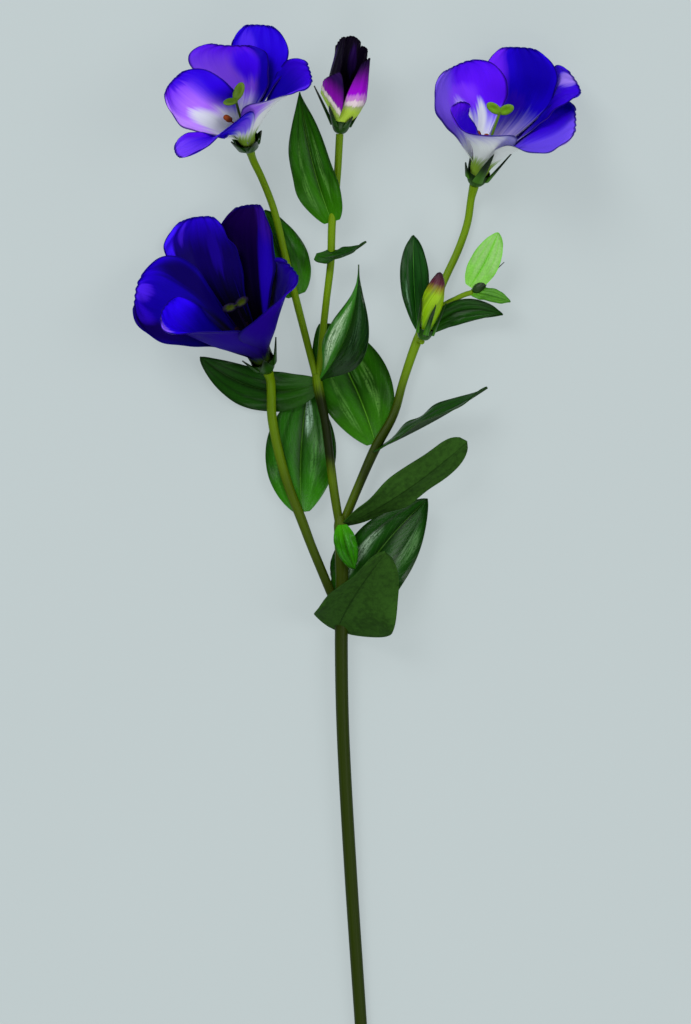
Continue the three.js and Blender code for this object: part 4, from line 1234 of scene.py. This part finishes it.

# Painted highlights: a silvery sheen near the tip and greener sheens on the halves.
BROAD_LEAF = LeafFinish(upper=(26, 84, 2), deep=(2, 16, 1), root=(50, 130, 0),
    sheens=(Patch((150, 184, 160), 0.2, 0.84, 0.16, 0.2, 0.9),
    Patch((70, 130, 50), 0.4, 0.4, 0.12, 0.4, 0.5), Patch((60, 120, 40), -0.75, 0.3, 0.14, 0.3, 0.5)))
# Painted highlights: silvery sheens on both halves of the leaf.
PAINTED_SHEEN_LEAF = LeafFinish(upper=(18, 64, 6), deep=(3, 18, 1), root=(40, 98, 4),
    sheens=(Patch((150, 180, 150), -0.4, 0.42, 0.24, 0.24, 0.9),
    Patch((150, 190, 140), 0.3, 0.36, 0.22, 0.22, 0.9), Patch((90, 130, 80), 0.7, 0.66, 0.2, 0.2, 0.5)))
DARK_LEAF = LeafFinish(upper=(18, 62, 4), deep=(3, 18, 1), under=(34, 64, 20), vein=(60, 116, 26),
    root=(40, 98, 4))
# Glossy, plus a painted highlight as a pale sheen.
SHINY_PAINTED_SHEEN_LEAF = LeafFinish(upper=(14, 60, 10), deep=(3, 24, 4), vein=(80, 170, 50), root=(24, 80, 8),
    gloss=0.15, rib=0.8, sheens=(Patch((110, 150, 120), -0.6, 0.36, 0.14, 0.2, 0.7),))
# Glossy, plus a pale painted highlight on its left half, and painted shade with a dim painted sheen over its
# right half.
FOLDED_LEAF = LeafFinish(upper=(44, 106, 24), deep=(12, 50, 6), root=(40, 110, 4), shade=0.8, roughness=0.16,
    gloss=0.3, sheens=(Patch((180, 210, 170), -0.45, 0.4, 0.34, 0.32, 0.85),
    Patch((60, 90, 60), 0.5, 0.6, 0.2, 0.4, 0.6)))
DULL_LEAF = LeafFinish(upper=(24, 66, 8), deep=(14, 34, 6), under=(40, 74, 20), vein=(14, 40, 4),
    root=(60, 112, 10), roughness=0.4, gloss=0.06, rib=0.7)
BRIGHT_LEAF = LeafFinish(upper=(38, 112, 2), deep=(8, 48, 0), under=(60, 110, 30), vein=(110, 190, 30),
    root=(60, 150, 0), rib=0.4)
# Painted highlights: pale sheens in streaks along the veins.
PAINTED_VEIN_SHEEN_LEAF = LeafFinish(upper=(30, 84, 2), deep=(2, 14, 0), rib=0.5,
    sheens=(Patch((90, 142, 60), 0.42, 0.42, 0.14, 0.36, 0.6),
    Patch((84, 138, 56), -0.48, 0.38, 0.14, 0.3, 0.55), Patch((84, 138, 64), 0.16, 0.62, 0.1, 0.22, 0.55)))
YOUNG_LEAF = LeafFinish(upper=(126, 176, 96), deep=(96, 178, 30), under=(104, 164, 50), vein=(100, 200, 10),
    root=(110, 196, 30), roughness=0.45, gloss=0.1, rib=0.9)
SHOOT_LEAF = LeafFinish(upper=(70, 128, 30), deep=(34, 88, 8), under=(70, 120, 30), vein=(120, 180, 40),
    root=(90, 170, 10), roughness=0.4, gloss=0.2)

LEAVES = (
    Leaf("leaf_half_open_bud_upper", (-6.7, 401.5, 14), (-18.2, 430.5, 22), (-22.8, 465.5, 25), 11,
        ((-0.42, 0, 0.9), (-0.3, 0, 0.95)), 24, 1.2, 1.05, finish=PAINTED_VEIN_SHEEN_LEAF),
    Leaf("leaf_half_open_bud_lower", (-15.2, 384, 16), (-3, 380, 17), (10.4, 390.8, 23), 5.2,
        ((0.1, 0.7, 0.7), (0, 0.9, 0.3)), 20, 0.6, 0.9, finish=DARK_LEAF),
    Leaf("leaf_top_left_bloom", (-24.4, 365, 8), (-33, 385, 0.5), (-40.5, 408, 3), 12.5,
        ((0.1, 0, 1), (0.2, 0.1, 1)), 8, 0.8, 0.8),
    Leaf("leaf_fork_left", (-14.3, 320.5, 9), (-44, 309.5, 1.2), (-73, 334, 7), 10.5,
        ((0, -0.4, 0.9), (0, -0.3, 0.95)), 14, 1, 0.72, finish=DARK_LEAF),
    Leaf("leaf_fork_right", (-13, 322, 11), (6.7, 345.4, 32), (6.6, 379, 34), 11.5,
        ((-0.2, 0.1, 0.95), (-0.2, 0, 0.95)), 30, 0.8, 2.9, shoulder=2.1, lean=0.25, finish=FOLDED_LEAF),
    Leaf("leaf_left_bloom", (-21.8, 256, 8), (-24.5, 284, 1.4), (-19, 317.4, 0.8), 17.3,
        ((-0.1, 0, 1), (0.05, 0, 1)), 9, 0.9, 0.75, shoulder=0.8, finish=BROAD_LEAF),
    Leaf("leaf_right_branch_left", (15, 290.5, 7.5), (6.4, 322.5, 0.5), (-13.2, 350.5, 4), 18,
        ((0, 0, 1), (0, 0.1, 1)), 8, 1, 0.75, shoulder=0.75, finish=PAINTED_VEIN_SHEEN_LEAF),
    Leaf("leaf_right_branch_right", (15.4, 287.5, 8.5), (42, 298, 25), (71, 318, 20), 11,
        ((-0.45, 0.8, 0.1), (-0.3, 0.8, 0.3)), 22, 1, 0.9, finish=DARK_LEAF),
    Leaf("leaf_branching_right", (0, 250, 12), (30, 263, 35), (60.5, 291, 30), 10.5,
        ((-0.3, 0.6, -0.6), (-0.3, 0.5, -0.75)), 12, 1.2, 0.45, shoulder=0.8, finish=DULL_LEAF),
    Leaf("leaf_branching_front", (-1.6, 249.5, 14), (-0.5, 237, 21), (4.5, 227.5, 18), 5.2,
        ((0, 0.2, 1), (0.4, 0, 1)), 16, 0.5, 0.8, finish=BRIGHT_LEAF),
    Leaf("leaf_lowest_back", (-1.3, 206, 9), (11, 234.5, 9.5), (41.2, 262.5, 11.5), 17.5,
        ((-0.3, 0.2, 0.9), (-0.2, 0, 0.9)), 4, 1.4, 0.8, lean=0.15, finish=PAINTED_SHEEN_LEAF),
    Leaf("leaf_lowest_front", (-3, 199.5, 12.5), (2, 214, 36), (19.5, 236, 50), 20,
        ((0.28, 0.79, -0.55), (-0.36, 0.69, -0.63)), -17, 1.2, 0.5, shoulder=0.12, ears=6, lean=-0.25,
        lobe=0.32, finish=DULL_LEAF),
    Leaf("leaf_lowest_left", (-3.4, 219, 5.5), (-4.6, 228, 2), (-3.6, 239, 2.5), 3.2,
        ((-0.2, 0, 1), (0, 0, 1)), 10, 0.4, 0.8, finish=DARK_LEAF),
    Leaf("leaf_closed_bud_left", (36.2, 348, 6.5), (33.6, 370, 11.5), (34, 394.8, 12), 6.8,
        ((0.2, 0, 1), (0.1, 0, 1)), 22, 0.5, 0.8, shoulder=1.1, finish=SHINY_PAINTED_SHEEN_LEAF),
    Leaf("leaf_closed_bud_right", (38.6, 344.2, 5.5), (56, 364, 8), (79, 355, 11), 5.6,
        ((0, -0.2, 1), (0, -0.2, 1)), 16, 0.5, 0.95, shoulder=1, finish=DARK_LEAF),
    Leaf("leaf_forming_bud_upper", (62.4, 369, 13), (70, 379.5, 19), (76.4, 395.6, 20), 6.8,
        ((0, -0.1, 1), (0, -0.1, 1)), 10, 0.5, 0.66, slot=Slot.YOUNG_LEAF, finish=YOUNG_LEAF),
    Leaf("leaf_forming_bud_lower", (62.8, 366.6, 11.4), (72, 364.8, 17), (82.4, 361.2, 16), 3.4,
        ((0, 0.3, 0.8), (0.1, 0.5, 0.7)), 18, 0.5, 0.6, slot=Slot.YOUNG_LEAF, finish=SHOOT_LEAF),
)

# The blooms and buds, with their petals' colours. Points are in each flower's own frame.

PALE = (208, 214, 216)
LILAC = (142, 92, 228)
VIOLET = (88, 20, 226)
BLUE = (52, 4, 208)
DEEP = (16, 0, 144)
CALYX_GREEN = (112, 146, 44)

TUBE_GLOW = Patch(CALYX_GREEN, 0, 0.1, 3, 0.22)
PALE_OUTSIDE = Face(PALE, PALE, (90, 42, 208), 0.3, 0.56, (TUBE_GLOW,))
BLUE_OUTSIDE = Face(PALE, LILAC, BLUE, 0.42, 0.7, (TUBE_GLOW,))
DARK_OUTSIDE = Face((14, 2, 60), (26, 0, 120), (46, 2, 180), 0.3, 0.76,
    (Patch((40, 60, 10), 0, 0.05, 3, 0.16), Patch((20, 0, 110), 0.1, 0.62, 0.8, 0.1, 0.6)))

PHASES = {"front": 0.4, "front_right": 1.4, "back_right": 0.7, "back": 2.2, "left": 1.2}


def open_petal(
    name: str, azimuth: float, rows: tuple[Row, ...], inner: Face, outer: Face, **waves: float
) -> Petal:
    """A petal of an open bloom, with its own ruffle and frill where waves gives them."""
    return Petal(name, azimuth, rows, PHASES[name], PetalFinish(inner, outer), **waves)


TOP_LEFT_BLOOM = Bloom(
    name="top_left_bloom",
    seat=Seat((-48, 437.5, 20.5), tilt=54, heading=-16),
    petals=(
        open_petal("front", -35,
            (((18, -11, 36), (13, -5, 31), (9, 6, 38)), ((18, -26, 46), (25, -23, 44), (29, -16, 48)),
                ((21, -35, 48), (30, -35, 46), (38, -30, 46))),
            Face(PALE, BLUE, (104, 58, 222), 0.24, 0.76, (Patch(DEEP, 0.6, 0.5, 0.9, 0.24),
                Patch((74, 14, 214), -0.9, 0.6, 0.5, 0.4))),
            Face(PALE, (36, 4, 200), (70, 14, 208), 0.36, 0.8, (TUBE_GLOW,
                Patch((96, 50, 226), 0.5, 0.4, 0.5, 0.14, 0.8))),
        ),
        open_petal("front_right", 45,
            (((6, 2, 37), (6, 13, 30), (-5, 17, 32)), ((13, 23, 46), (5, 30, 42), (-14, 26, 38)),
                ((21, 33, 50), (6, 39, 49), (-15, 38, 45))),
            Face(PALE, DEEP, BLUE, 0.25, 0.8, (Patch((78, 34, 222), -0.9, 0.8, 0.5, 0.5),)),
            Face(PALE, PALE, BLUE, 0.4, 0.75, (TUBE_GLOW, Patch(LILAC, -0.8, 0.4, 0.5, 0.3))),
        ),
        open_petal("back_right", 125,
            (((-2, 17, 32), (-16, 13, 26), (-16, 6, 30)), ((-13, 30, 40), (-26, 19, 38), (-32, 4, 38)),
                ((-23, 38, 44), (-39, 21, 44), (-38, 5, 42))),
            Face(PALE, DEEP, (34, 2, 198), 0.2, 0.6, (Patch((78, 40, 224), 0.5, 0.8, 0.4, 0.2, 0.7),)),
            BLUE_OUTSIDE,
        ),
        open_petal("back", -165,
            (((-4, 15, 32), (-14, 5, 27), (-13, -5, 30)), ((-12, 21, 42), (-22, 5, 40), (-28, -18, 42)),
                ((-21, 27, 46), (-28, 5, 47), (-41, -16, 46))),
            Face(PALE, (110, 62, 204), (72, 12, 206), 0.36, 0.75, (Patch(DEEP, -0.9, 0.7, 0.5, 0.5),
                Patch(BLUE, -0.3, 0.75, 0.5, 0.25))),
            BLUE_OUTSIDE,
        ),
        open_petal("left", -95,
            (((-6, 0, 29), (-1, -11, 28), (11, -13, 30)), ((-4, 0, 46), (-6, -22, 40), (10, -29, 42)),
                ((-23, -6, 48), (-15, -29, 47), (4, -35, 46))),
            Face(PALE, (166, 106, 240), (86, 14, 214), 0.5, 0.78,
                (Patch((40, 2, 200), -1.1, 0.78, 0.95, 0.5), Patch((44, 2, 200), -0.3, 1.02, 0.8, 0.14, 0.9),
                Patch(PALE, 0.35, 0.52, 0.55, 0.22, 0.9),
                Patch((184, 136, 240), 0.95, 0.74, 0.35, 0.3, 0.8))),
            PALE_OUTSIDE,
        ),
    ),
    calyx=Calyx(0.95, 20, (11, 7, 11, 12, 13), 20),
    pistil=Pistil(35.5, 133, size=1.25, finish=PlainFinish(root=(84, 112, 30), end=(66, 96, 4), turn=0.7,
        roughness=0.45, gloss=0.15)),
    stamens=Stamens(-62, ((25.5, 6.6, 1.7), *((7, 2.8, 1),) * 4)),
)

# This bloom lies in shade: its near-black throats and dark faces are partly its own deep colour and partly
# painted shade, its darker patches are painted shade, its lighter ones painted highlights, and its stamens
# are darkened as painted shade.
LEFT_BLOOM = Bloom(
    name="left_bloom",
    seat=Seat((-39, 326.8, 13), tilt=38, heading=-25.8),
    petals=(
        open_petal("front", -35,
            (((-3, -14, 38), (8, -19, 34), (23, 1, 42)), ((-2, -16, 54), (3, -32, 52), (19, -26, 56)),
                ((-10, -20, 62), (2, -34, 62), (23, -42, 60))),
            # Painted shade in the near-black throat, and a painted highlight on the lobe's margin.
            Face((3, 1, 20), (14, 0, 140), (36, 0, 226), 0.4, 0.66,
                (Patch((142, 96, 246), 0.7, 0.94, 0.4, 0.14, 0.85),)),
            DARK_OUTSIDE,
        ),
        open_petal("front_right", 37,
            (((25, -6, 44), (22, 11, 36), (-5, 15, 37)), ((34, 14, 58), (22, 25, 54), (-12, 25, 49)),
                ((39, 31, 64), (20, 33, 63), (-14, 30, 57))),
            # Painted shade in the near-black throat.
            Face((3, 1, 20), (12, 0, 90), (30, 2, 150), 0.45, 0.8),
            DARK_OUTSIDE,
        ),
        open_petal("back_right", 109,
            (((6, 17, 42), (-11, 11, 35), (-15, 4, 38)), ((-9, 29, 58), (-32, 20, 52), (-43, 8, 56)),
                ((-25, 38, 70), (-37, 28, 70), (-45, 10, 70))),
            # A near-black face, partly its own colour and partly painted shade, with lighter patches as
            # painted highlights.
            Face((3, 2, 12), (8, 0, 40), (22, 0, 70), 0.5, 0.74,
                (Patch((30, 2, 170), -0.62, 0.6, 0.42, 0.42, 0.9),
                Patch((52, 14, 150), -0.7, 0.95, 0.5, 0.2, 0.6))),
            DARK_OUTSIDE,
        ),
        open_petal("back", 181,
            (((-13, 7, 40), (-32, -6, 35), (-34, -17, 37)),
                ((-28, 14, 56), (-52, -4, 51.5), (-54, -22, 53.5)),
                ((-30, 13, 65), (-58, 1, 63.5), (-56, -24, 61.5))),
            # Painted shade in the throat and in the darker patch; the lighter patches are painted highlights.
            Face((3, 2, 14), (12, 0, 84), (34, 2, 196), 0.5, 0.82,
                (Patch((72, 30, 226), 0.45, 0.9, 0.12, 0.16, 0.5),
                Patch((28, 4, 150), -0.4, 0.7, 0.2, 0.2, 0.6), Patch((56, 18, 240), 0.9, 0.85, 0.3, 0.2))),
            DARK_OUTSIDE,
            ruffle=1.9, frill=0.5,
        ),
        open_petal("left", -107,
            (((-25, -7, 40), (-20, -19, 33), (6, -19, 33)), ((-40, -12, 56), (-28, -35, 48), (3, -41, 46)),
                ((-50, -23, 64), (-26, -42, 60), (-3, -55, 54))),
            # Painted shade in the throat and in the near-black patches; the bright violet patches are painted
            # highlights.
            Face((3, 1, 20), (17, 0, 150), (38, 0, 216), 0.46, 0.84,
                (Patch((16, 0, 84), 0.75, 0.85, 0.4, 0.4), Patch((84, 36, 250), -0.1, 0.98, 0.36, 0.2, 0.8),
                Patch((60, 14, 240), 0.45, 0.92, 0.3, 0.2, 0.6), Patch((10, 0, 84), -0.75, 0.6, 0.3, 0.4))),
            DARK_OUTSIDE,
            ruffle=1.9, frill=0.5,
        ),
    ),
    calyx=Calyx(0.95, 0, (10, 16, 13, 13, 11), 22),
    pistil=Pistil(40.5, 90, (12, 12), 50, finish=PlainFinish(root=(24, 16, 44), end=(52, 66, 4), turn=0.8,
        soft=0.12, gloss=0.04)),
    # Stamens darkened as painted shade, so that they sink into the shaded throat.
    stamens=Stamens(30, tuple(((reach, 4.6, 1.2) for reach in (22, 23, 22, 24, 22))),
        PlainFinish(root=(14, 6, 22), end=(22, 8, 20), roughness=0.7, gloss=0.05)),
)

RIGHT_BLOOM = Bloom(
    name="right_bloom",
    seat=Seat((64.8, 420.5, 9.5), tilt=33, heading=19.3),
    petals=(
        open_petal("front", -38,
            (((7, -8, 32), (21, -6, 32), (13, 12, 40)), ((19, -14, 48), (39, -18, 50), (46, -10, 52)),
                ((25, -14, 58), (37, -21, 60), (48, -28, 58))),
            Face(PALE, BLUE, VIOLET, 0.36, 0.8),
            PALE_OUTSIDE,
        ),
        open_petal("front_right", 37,
            (((26, 8, 40), (13, 14, 33), (-12, 15, 33)), ((40, 26, 50), (0, 30, 42), (-21, 23, 47)),
                ((38, 37, 54), (-1, 37, 52), (-26, 32, 54))),
            Face(PALE, (100, 70, 226), (110, 76, 236), 0.24, 0.8, (Patch(DEEP, 0.9, 0.8, 0.9, 0.5),
                Patch(BLUE, 0.4, 0.7, 0.5, 0.3, 0.8))),
            Face(PALE, PALE, LILAC, 0.4, 0.8, (TUBE_GLOW,)),
        ),
        open_petal("back_right", 109,
            (((-3, 18, 36), (-25, 19, 31), (-32, 19, 34)), ((-8, 25, 50), (-26, 24, 50), (-42, 18, 51)),
                ((-7, 37, 60), (-22, 32, 61), (-48, 18, 61))),
            Face(LILAC, DEEP, (52, 8, 206), 0.3, 0.7, (Patch((150, 120, 230), 0.4, 0.95, 0.4, 0.2),)),
            BLUE_OUTSIDE,
        ),
        open_petal("back", 181,
            (((-22, 20, 37), (-28, 8, 31), (-15, -5, 31)), ((-30, 23, 53.5), (-34, 6, 51.5), (-25, -14, 45)),
                ((-36, 21, 62.5), (-37, -2, 62), (-35, -19, 51))),
            # The darker patch is painted shade, and the lighter violet one a painted highlight.
            Face((176, 164, 200), (22, 0, 176), (28, 0, 190), 0.36, 0.75,
                (Patch((98, 30, 226), 0.9, 0.72, 0.5, 0.6), Patch((14, 0, 140), -0.3, 0.8, 0.7, 0.34, 0.7),
                Patch((52, 14, 170), 0.3, 0.48, 0.6, 0.14, 0.5))),
            BLUE_OUTSIDE,
        ),
        open_petal("left", -107,
            (((-15, 0, 32), (-10, -11, 30), (14, -16, 30)), ((-15, 0, 52), (-15, -23, 43), (20, -30, 42)),
                ((-27, -8, 60), (-16, -28, 52), (4, -39, 46))),
            Face(PALE, (88, 18, 228), (66, 8, 214), 0.42, 0.84,
                (Patch((116, 88, 206), 0.95, 0.8, 0.9, 0.5, 0.75), Patch(PALE, 0.3, 0.46, 0.3, 0.24),
                Patch(PALE, -0.3, 0.42, 0.3, 0.2), Patch((124, 58, 232), 0.1, 0.64, 0.6, 0.16, 0.6))),
            PALE_OUTSIDE,
        ),
    ),
    calyx=Calyx(0.92, 10, (29, 21, 9, 8, 9), 24, 4.6, (3.5, -5, 0, 0, 0),
        finish=PlainFinish(root=(52, 100, 10), end=(8, 30, 4), turn=0.3, soft=0.25, roughness=0.4,
        gloss=0.12)),
    pistil=Pistil(39.5, 90, (46, 18), 75, 1.1),
    stamens=Stamens(-16, ((20, 5, 1.2), (18, 5, 1.2), (19, 5, 1.2), (18.8, 6, 1.4), (22.4, 6, 1.4))),
)

BUD_OUTSIDE = Face((160, 192, 60), (140, 0, 184), (22, 2, 44), 0.46, 0.72,
    (Patch((206, 150, 200), -0.2, 0.52, 1.6, 0.1, 0.5), Patch((218, 206, 206), -0.2, 0.47, 1.2, 0.06, 0.75)),
    draw=0.14)
BUD_LIP = Face((166, 206, 70), (120, 8, 150), (30, 3, 60), 0.6, 0.86,
    (Patch((222, 214, 206), 0, 0.63, 3, 0.07, 0.8),), 0.3, 0.14)
BUD_DARK = Face((60, 80, 10), (44, 4, 70), (9, 2, 20), 0.3, 0.45,
    (Patch((40, 8, 84), -0.2, 0.8, 0.5, 0.16, 0.8),))


def bud_petal(name: str, azimuth: float, rows: tuple[Row, ...], face: Face, phase: float) -> Petal:
    """A petal of the half-open bud, the same colours on both faces."""
    finish = PetalFinish(face, face, (6, 1, 14), gloss=0.06)
    return Petal(name, azimuth, rows, phase, finish, ruffle=0.5, frill=0.25, tip_share=0.75)


HALF_OPEN_BUD = HalfOpenBud(
    name="half_open_bud",
    seat=Seat((-2.9, 445.6, 16.2), tilt=12, heading=8),
    petals=(
        bud_petal("lip", -60, (((-3, -10.5, 16), (6, -8.5, 17), (8.5, 0, 17)),
            ((-3, -12.5, 23), (6, -9.5, 28), (9, -2, 33))), BUD_LIP, 0),
        bud_petal("front", 30, (((7.6, 0.5, 19), (7.6, 8, 20), (0.5, 10, 20)),
            ((6.6, 5, 36), (5, 9.5, 40), (-1, 9.5, 38))), BUD_OUTSIDE, 1.7),
        bud_petal("upper_left", -125, (((-8, -5, 22), (-1, -9, 22), (7, -5, 22)),
            ((-4, -7.6, 40), (1, -6, 47.3), (5, -2, 48.5))), BUD_DARK, 3.4),
        bud_petal("back", 170, (((-7, 6, 22), (-8.5, 0, 22), (-6, -6, 22)),
            ((-4, 5, 45), (-1, 0.5, 49), (0, -5, 47))), BUD_DARK, 5.1),
        bud_petal("right", 100, (((4, 8.5, 22), (-4, 8, 22), (-8, 1, 22)),
            ((4.5, 7, 41), (1, 7.5, 44), (-4, 4, 45))), BUD_DARK, 6.8),
    ),
    calyx=Calyx(0.76, 36, (7, 7, 9, 21, 13), 26, 3.8, (0, 0, 0, 8, 10)),
)

CLOSED_BUD = ClosedBud(
    name="closed_bud",
    seat=Seat((38.9, 342.4, 12.6), tilt=12, heading=14.2),
    body=FurledBody(((1.8, 2.2), (2.5, 5), (3.9, 11), (5.2, 18), (5, 24), (3.4, 30.5), (1.2, 35)), 5, 0.012,
        0.05),
    calyx=Calyx(0.66, 10, (17, 18, 15, 17, 18), 9, 2.9, finish=PlainFinish(root=(48, 104, 8),
        end=(14, 44, 6), turn=0.25, roughness=0.3)),
    finish=BudFinish(((0.0, (60, 100, 4)), (0.3, (112, 160, 0)), (0.66, (128, 166, 0)),
        (0.74, (118, 112, 10)), (0.8, (78, 20, 40)), (1.0, (32, 4, 24)))),
)

FORMING_BUD = FormingBud(
    name="forming_bud",
    seat=Seat((64.3, 366.4, 12.6), tilt=12, heading=50),
    body=FurledBody(((0.9, 0), (2, 1), (2.6, 3.5), (2, 6.5), (0.8, 8)), 2, 0.02, 0.06),
    bristles=((-1, 21.5), (-4, 19.5)),
)

FLOWERS = (TOP_LEFT_BLOOM, LEFT_BLOOM, RIGHT_BLOOM, HALF_OPEN_BUD, CLOSED_BUD, FORMING_BUD)


# The stage.

SENSOR_WIDTH = 36
LAMPS_LOOK_AT = (0, 0.1, 0.02)


@dataclass(frozen=True)
class Lamp:
    """A square soft lamp that looks at the spray: its place and size in metres and its power in watts."""

    name: str
    place: Point
    size: float
    power: float

    def build(self) -> None:
        """Hangs the lamp."""
        Workbench.clear_selection()
        bpy.ops.object.light_add(type="AREA", location=self.place)
        lamp = bpy.context.object
        lamp.name = self.name
        lamp.data.size = self.size
        lamp.data.energy = self.power
        lamp.rotation_mode = "QUATERNION"
        lamp.rotation_quaternion = (Vector(LAMPS_LOOK_AT) - Vector(self.place)).to_track_quat("-Z", "Y")


@dataclass(frozen=True)
class Stage:
    """A pale floor, soft studio light and the camera straight above, whose place is eye, in metres.

    glow is the share of the floor's brightness that it gives off itself, so that shadows on it stay faint,
    lamplight how bright the lamps would make it, and sky the strength of the light from all round.
    """

    eye: Point = (-0.00575, 0.03072, 2.42)
    focal_pixels: float = 4800.0
    picture_height: float = 1024.0
    floor_colour: Colour = (163, 173, 174)
    glow: float = 0.7
    lamplight: float = 1.44
    sky: float = 0.52
    lamps: tuple[Lamp, ...] = (
        Lamp("key", (-0.9, 1.3, 1.9), 1.1, 36.0),
        Lamp("fill", (1.5, 0.2, 1.9), 1.2, 19.0),
        Lamp("back", (-0.2, -1.7, 1.7), 1.4, 16.0),
    )

    def build(self) -> None:
        """Sets the stage."""
        self._floor()
        for lamp in self.lamps:
            lamp.build()
        world = bpy.data.worlds.new("soft studio")
        bpy.context.scene.world = world
        world.use_nodes = True
        backdrop = world.node_tree.nodes["Background"]
        backdrop.inputs["Color"].default_value = (0.98, 0.99, 1.0, 1.0)
        backdrop.inputs["Strength"].default_value = self.sky
        world.cycles_visibility.glossy = False
        self._camera()
        bpy.context.scene.view_settings.view_transform = "Standard"

    def _floor(self) -> None:
        """A wide plain floor that glows a little."""
        Workbench.clear_selection()
        bpy.ops.mesh.primitive_plane_add(size=12, location=(0, 0, 0))
        floor = bpy.context.object
        floor.name = "floor"
        sheet = Sheet("floor")
        grain = sheet.mottle(3.0)
        colour = sheet.lit(sheet.blend(0.0, self.floor_colour, self.floor_colour), 0.985 + grain * 0.03)
        colours = {"Base_Color": sheet.lit(colour, 1 - self.glow), "Emission_Color": colour}
        strength = self.glow * self.lamplight
        floor.data.materials.append(sheet.finished(**colours, Emission_Strength=strength, Roughness=0.9))

    def _camera(self) -> None:
        """The camera, looking straight down with the stem's top at the top of the picture."""
        Workbench.clear_selection()
        bpy.ops.object.camera_add(location=self.eye, rotation=(0, 0, 0))
        camera = bpy.context.object
        camera.name = "camera"
        camera.data.sensor_width = SENSOR_WIDTH
        camera.data.lens = self.focal_pixels / self.picture_height * SENSOR_WIDTH
        camera.data.clip_start, camera.data.clip_end = 0.1, 30
        bpy.context.scene.camera = camera


def main() -> None:
    """Loads the solids, dresses them and sets the stage."""
    logging.basicConfig(level=logging.INFO, format="%(name)s: %(message)s")
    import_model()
    STEM.build()
    for leaf in LEAVES:
        leaf.build()
    for flower in FLOWERS:
        flower.build()
    Stage().build()


if __name__ == "__main__":
    main()
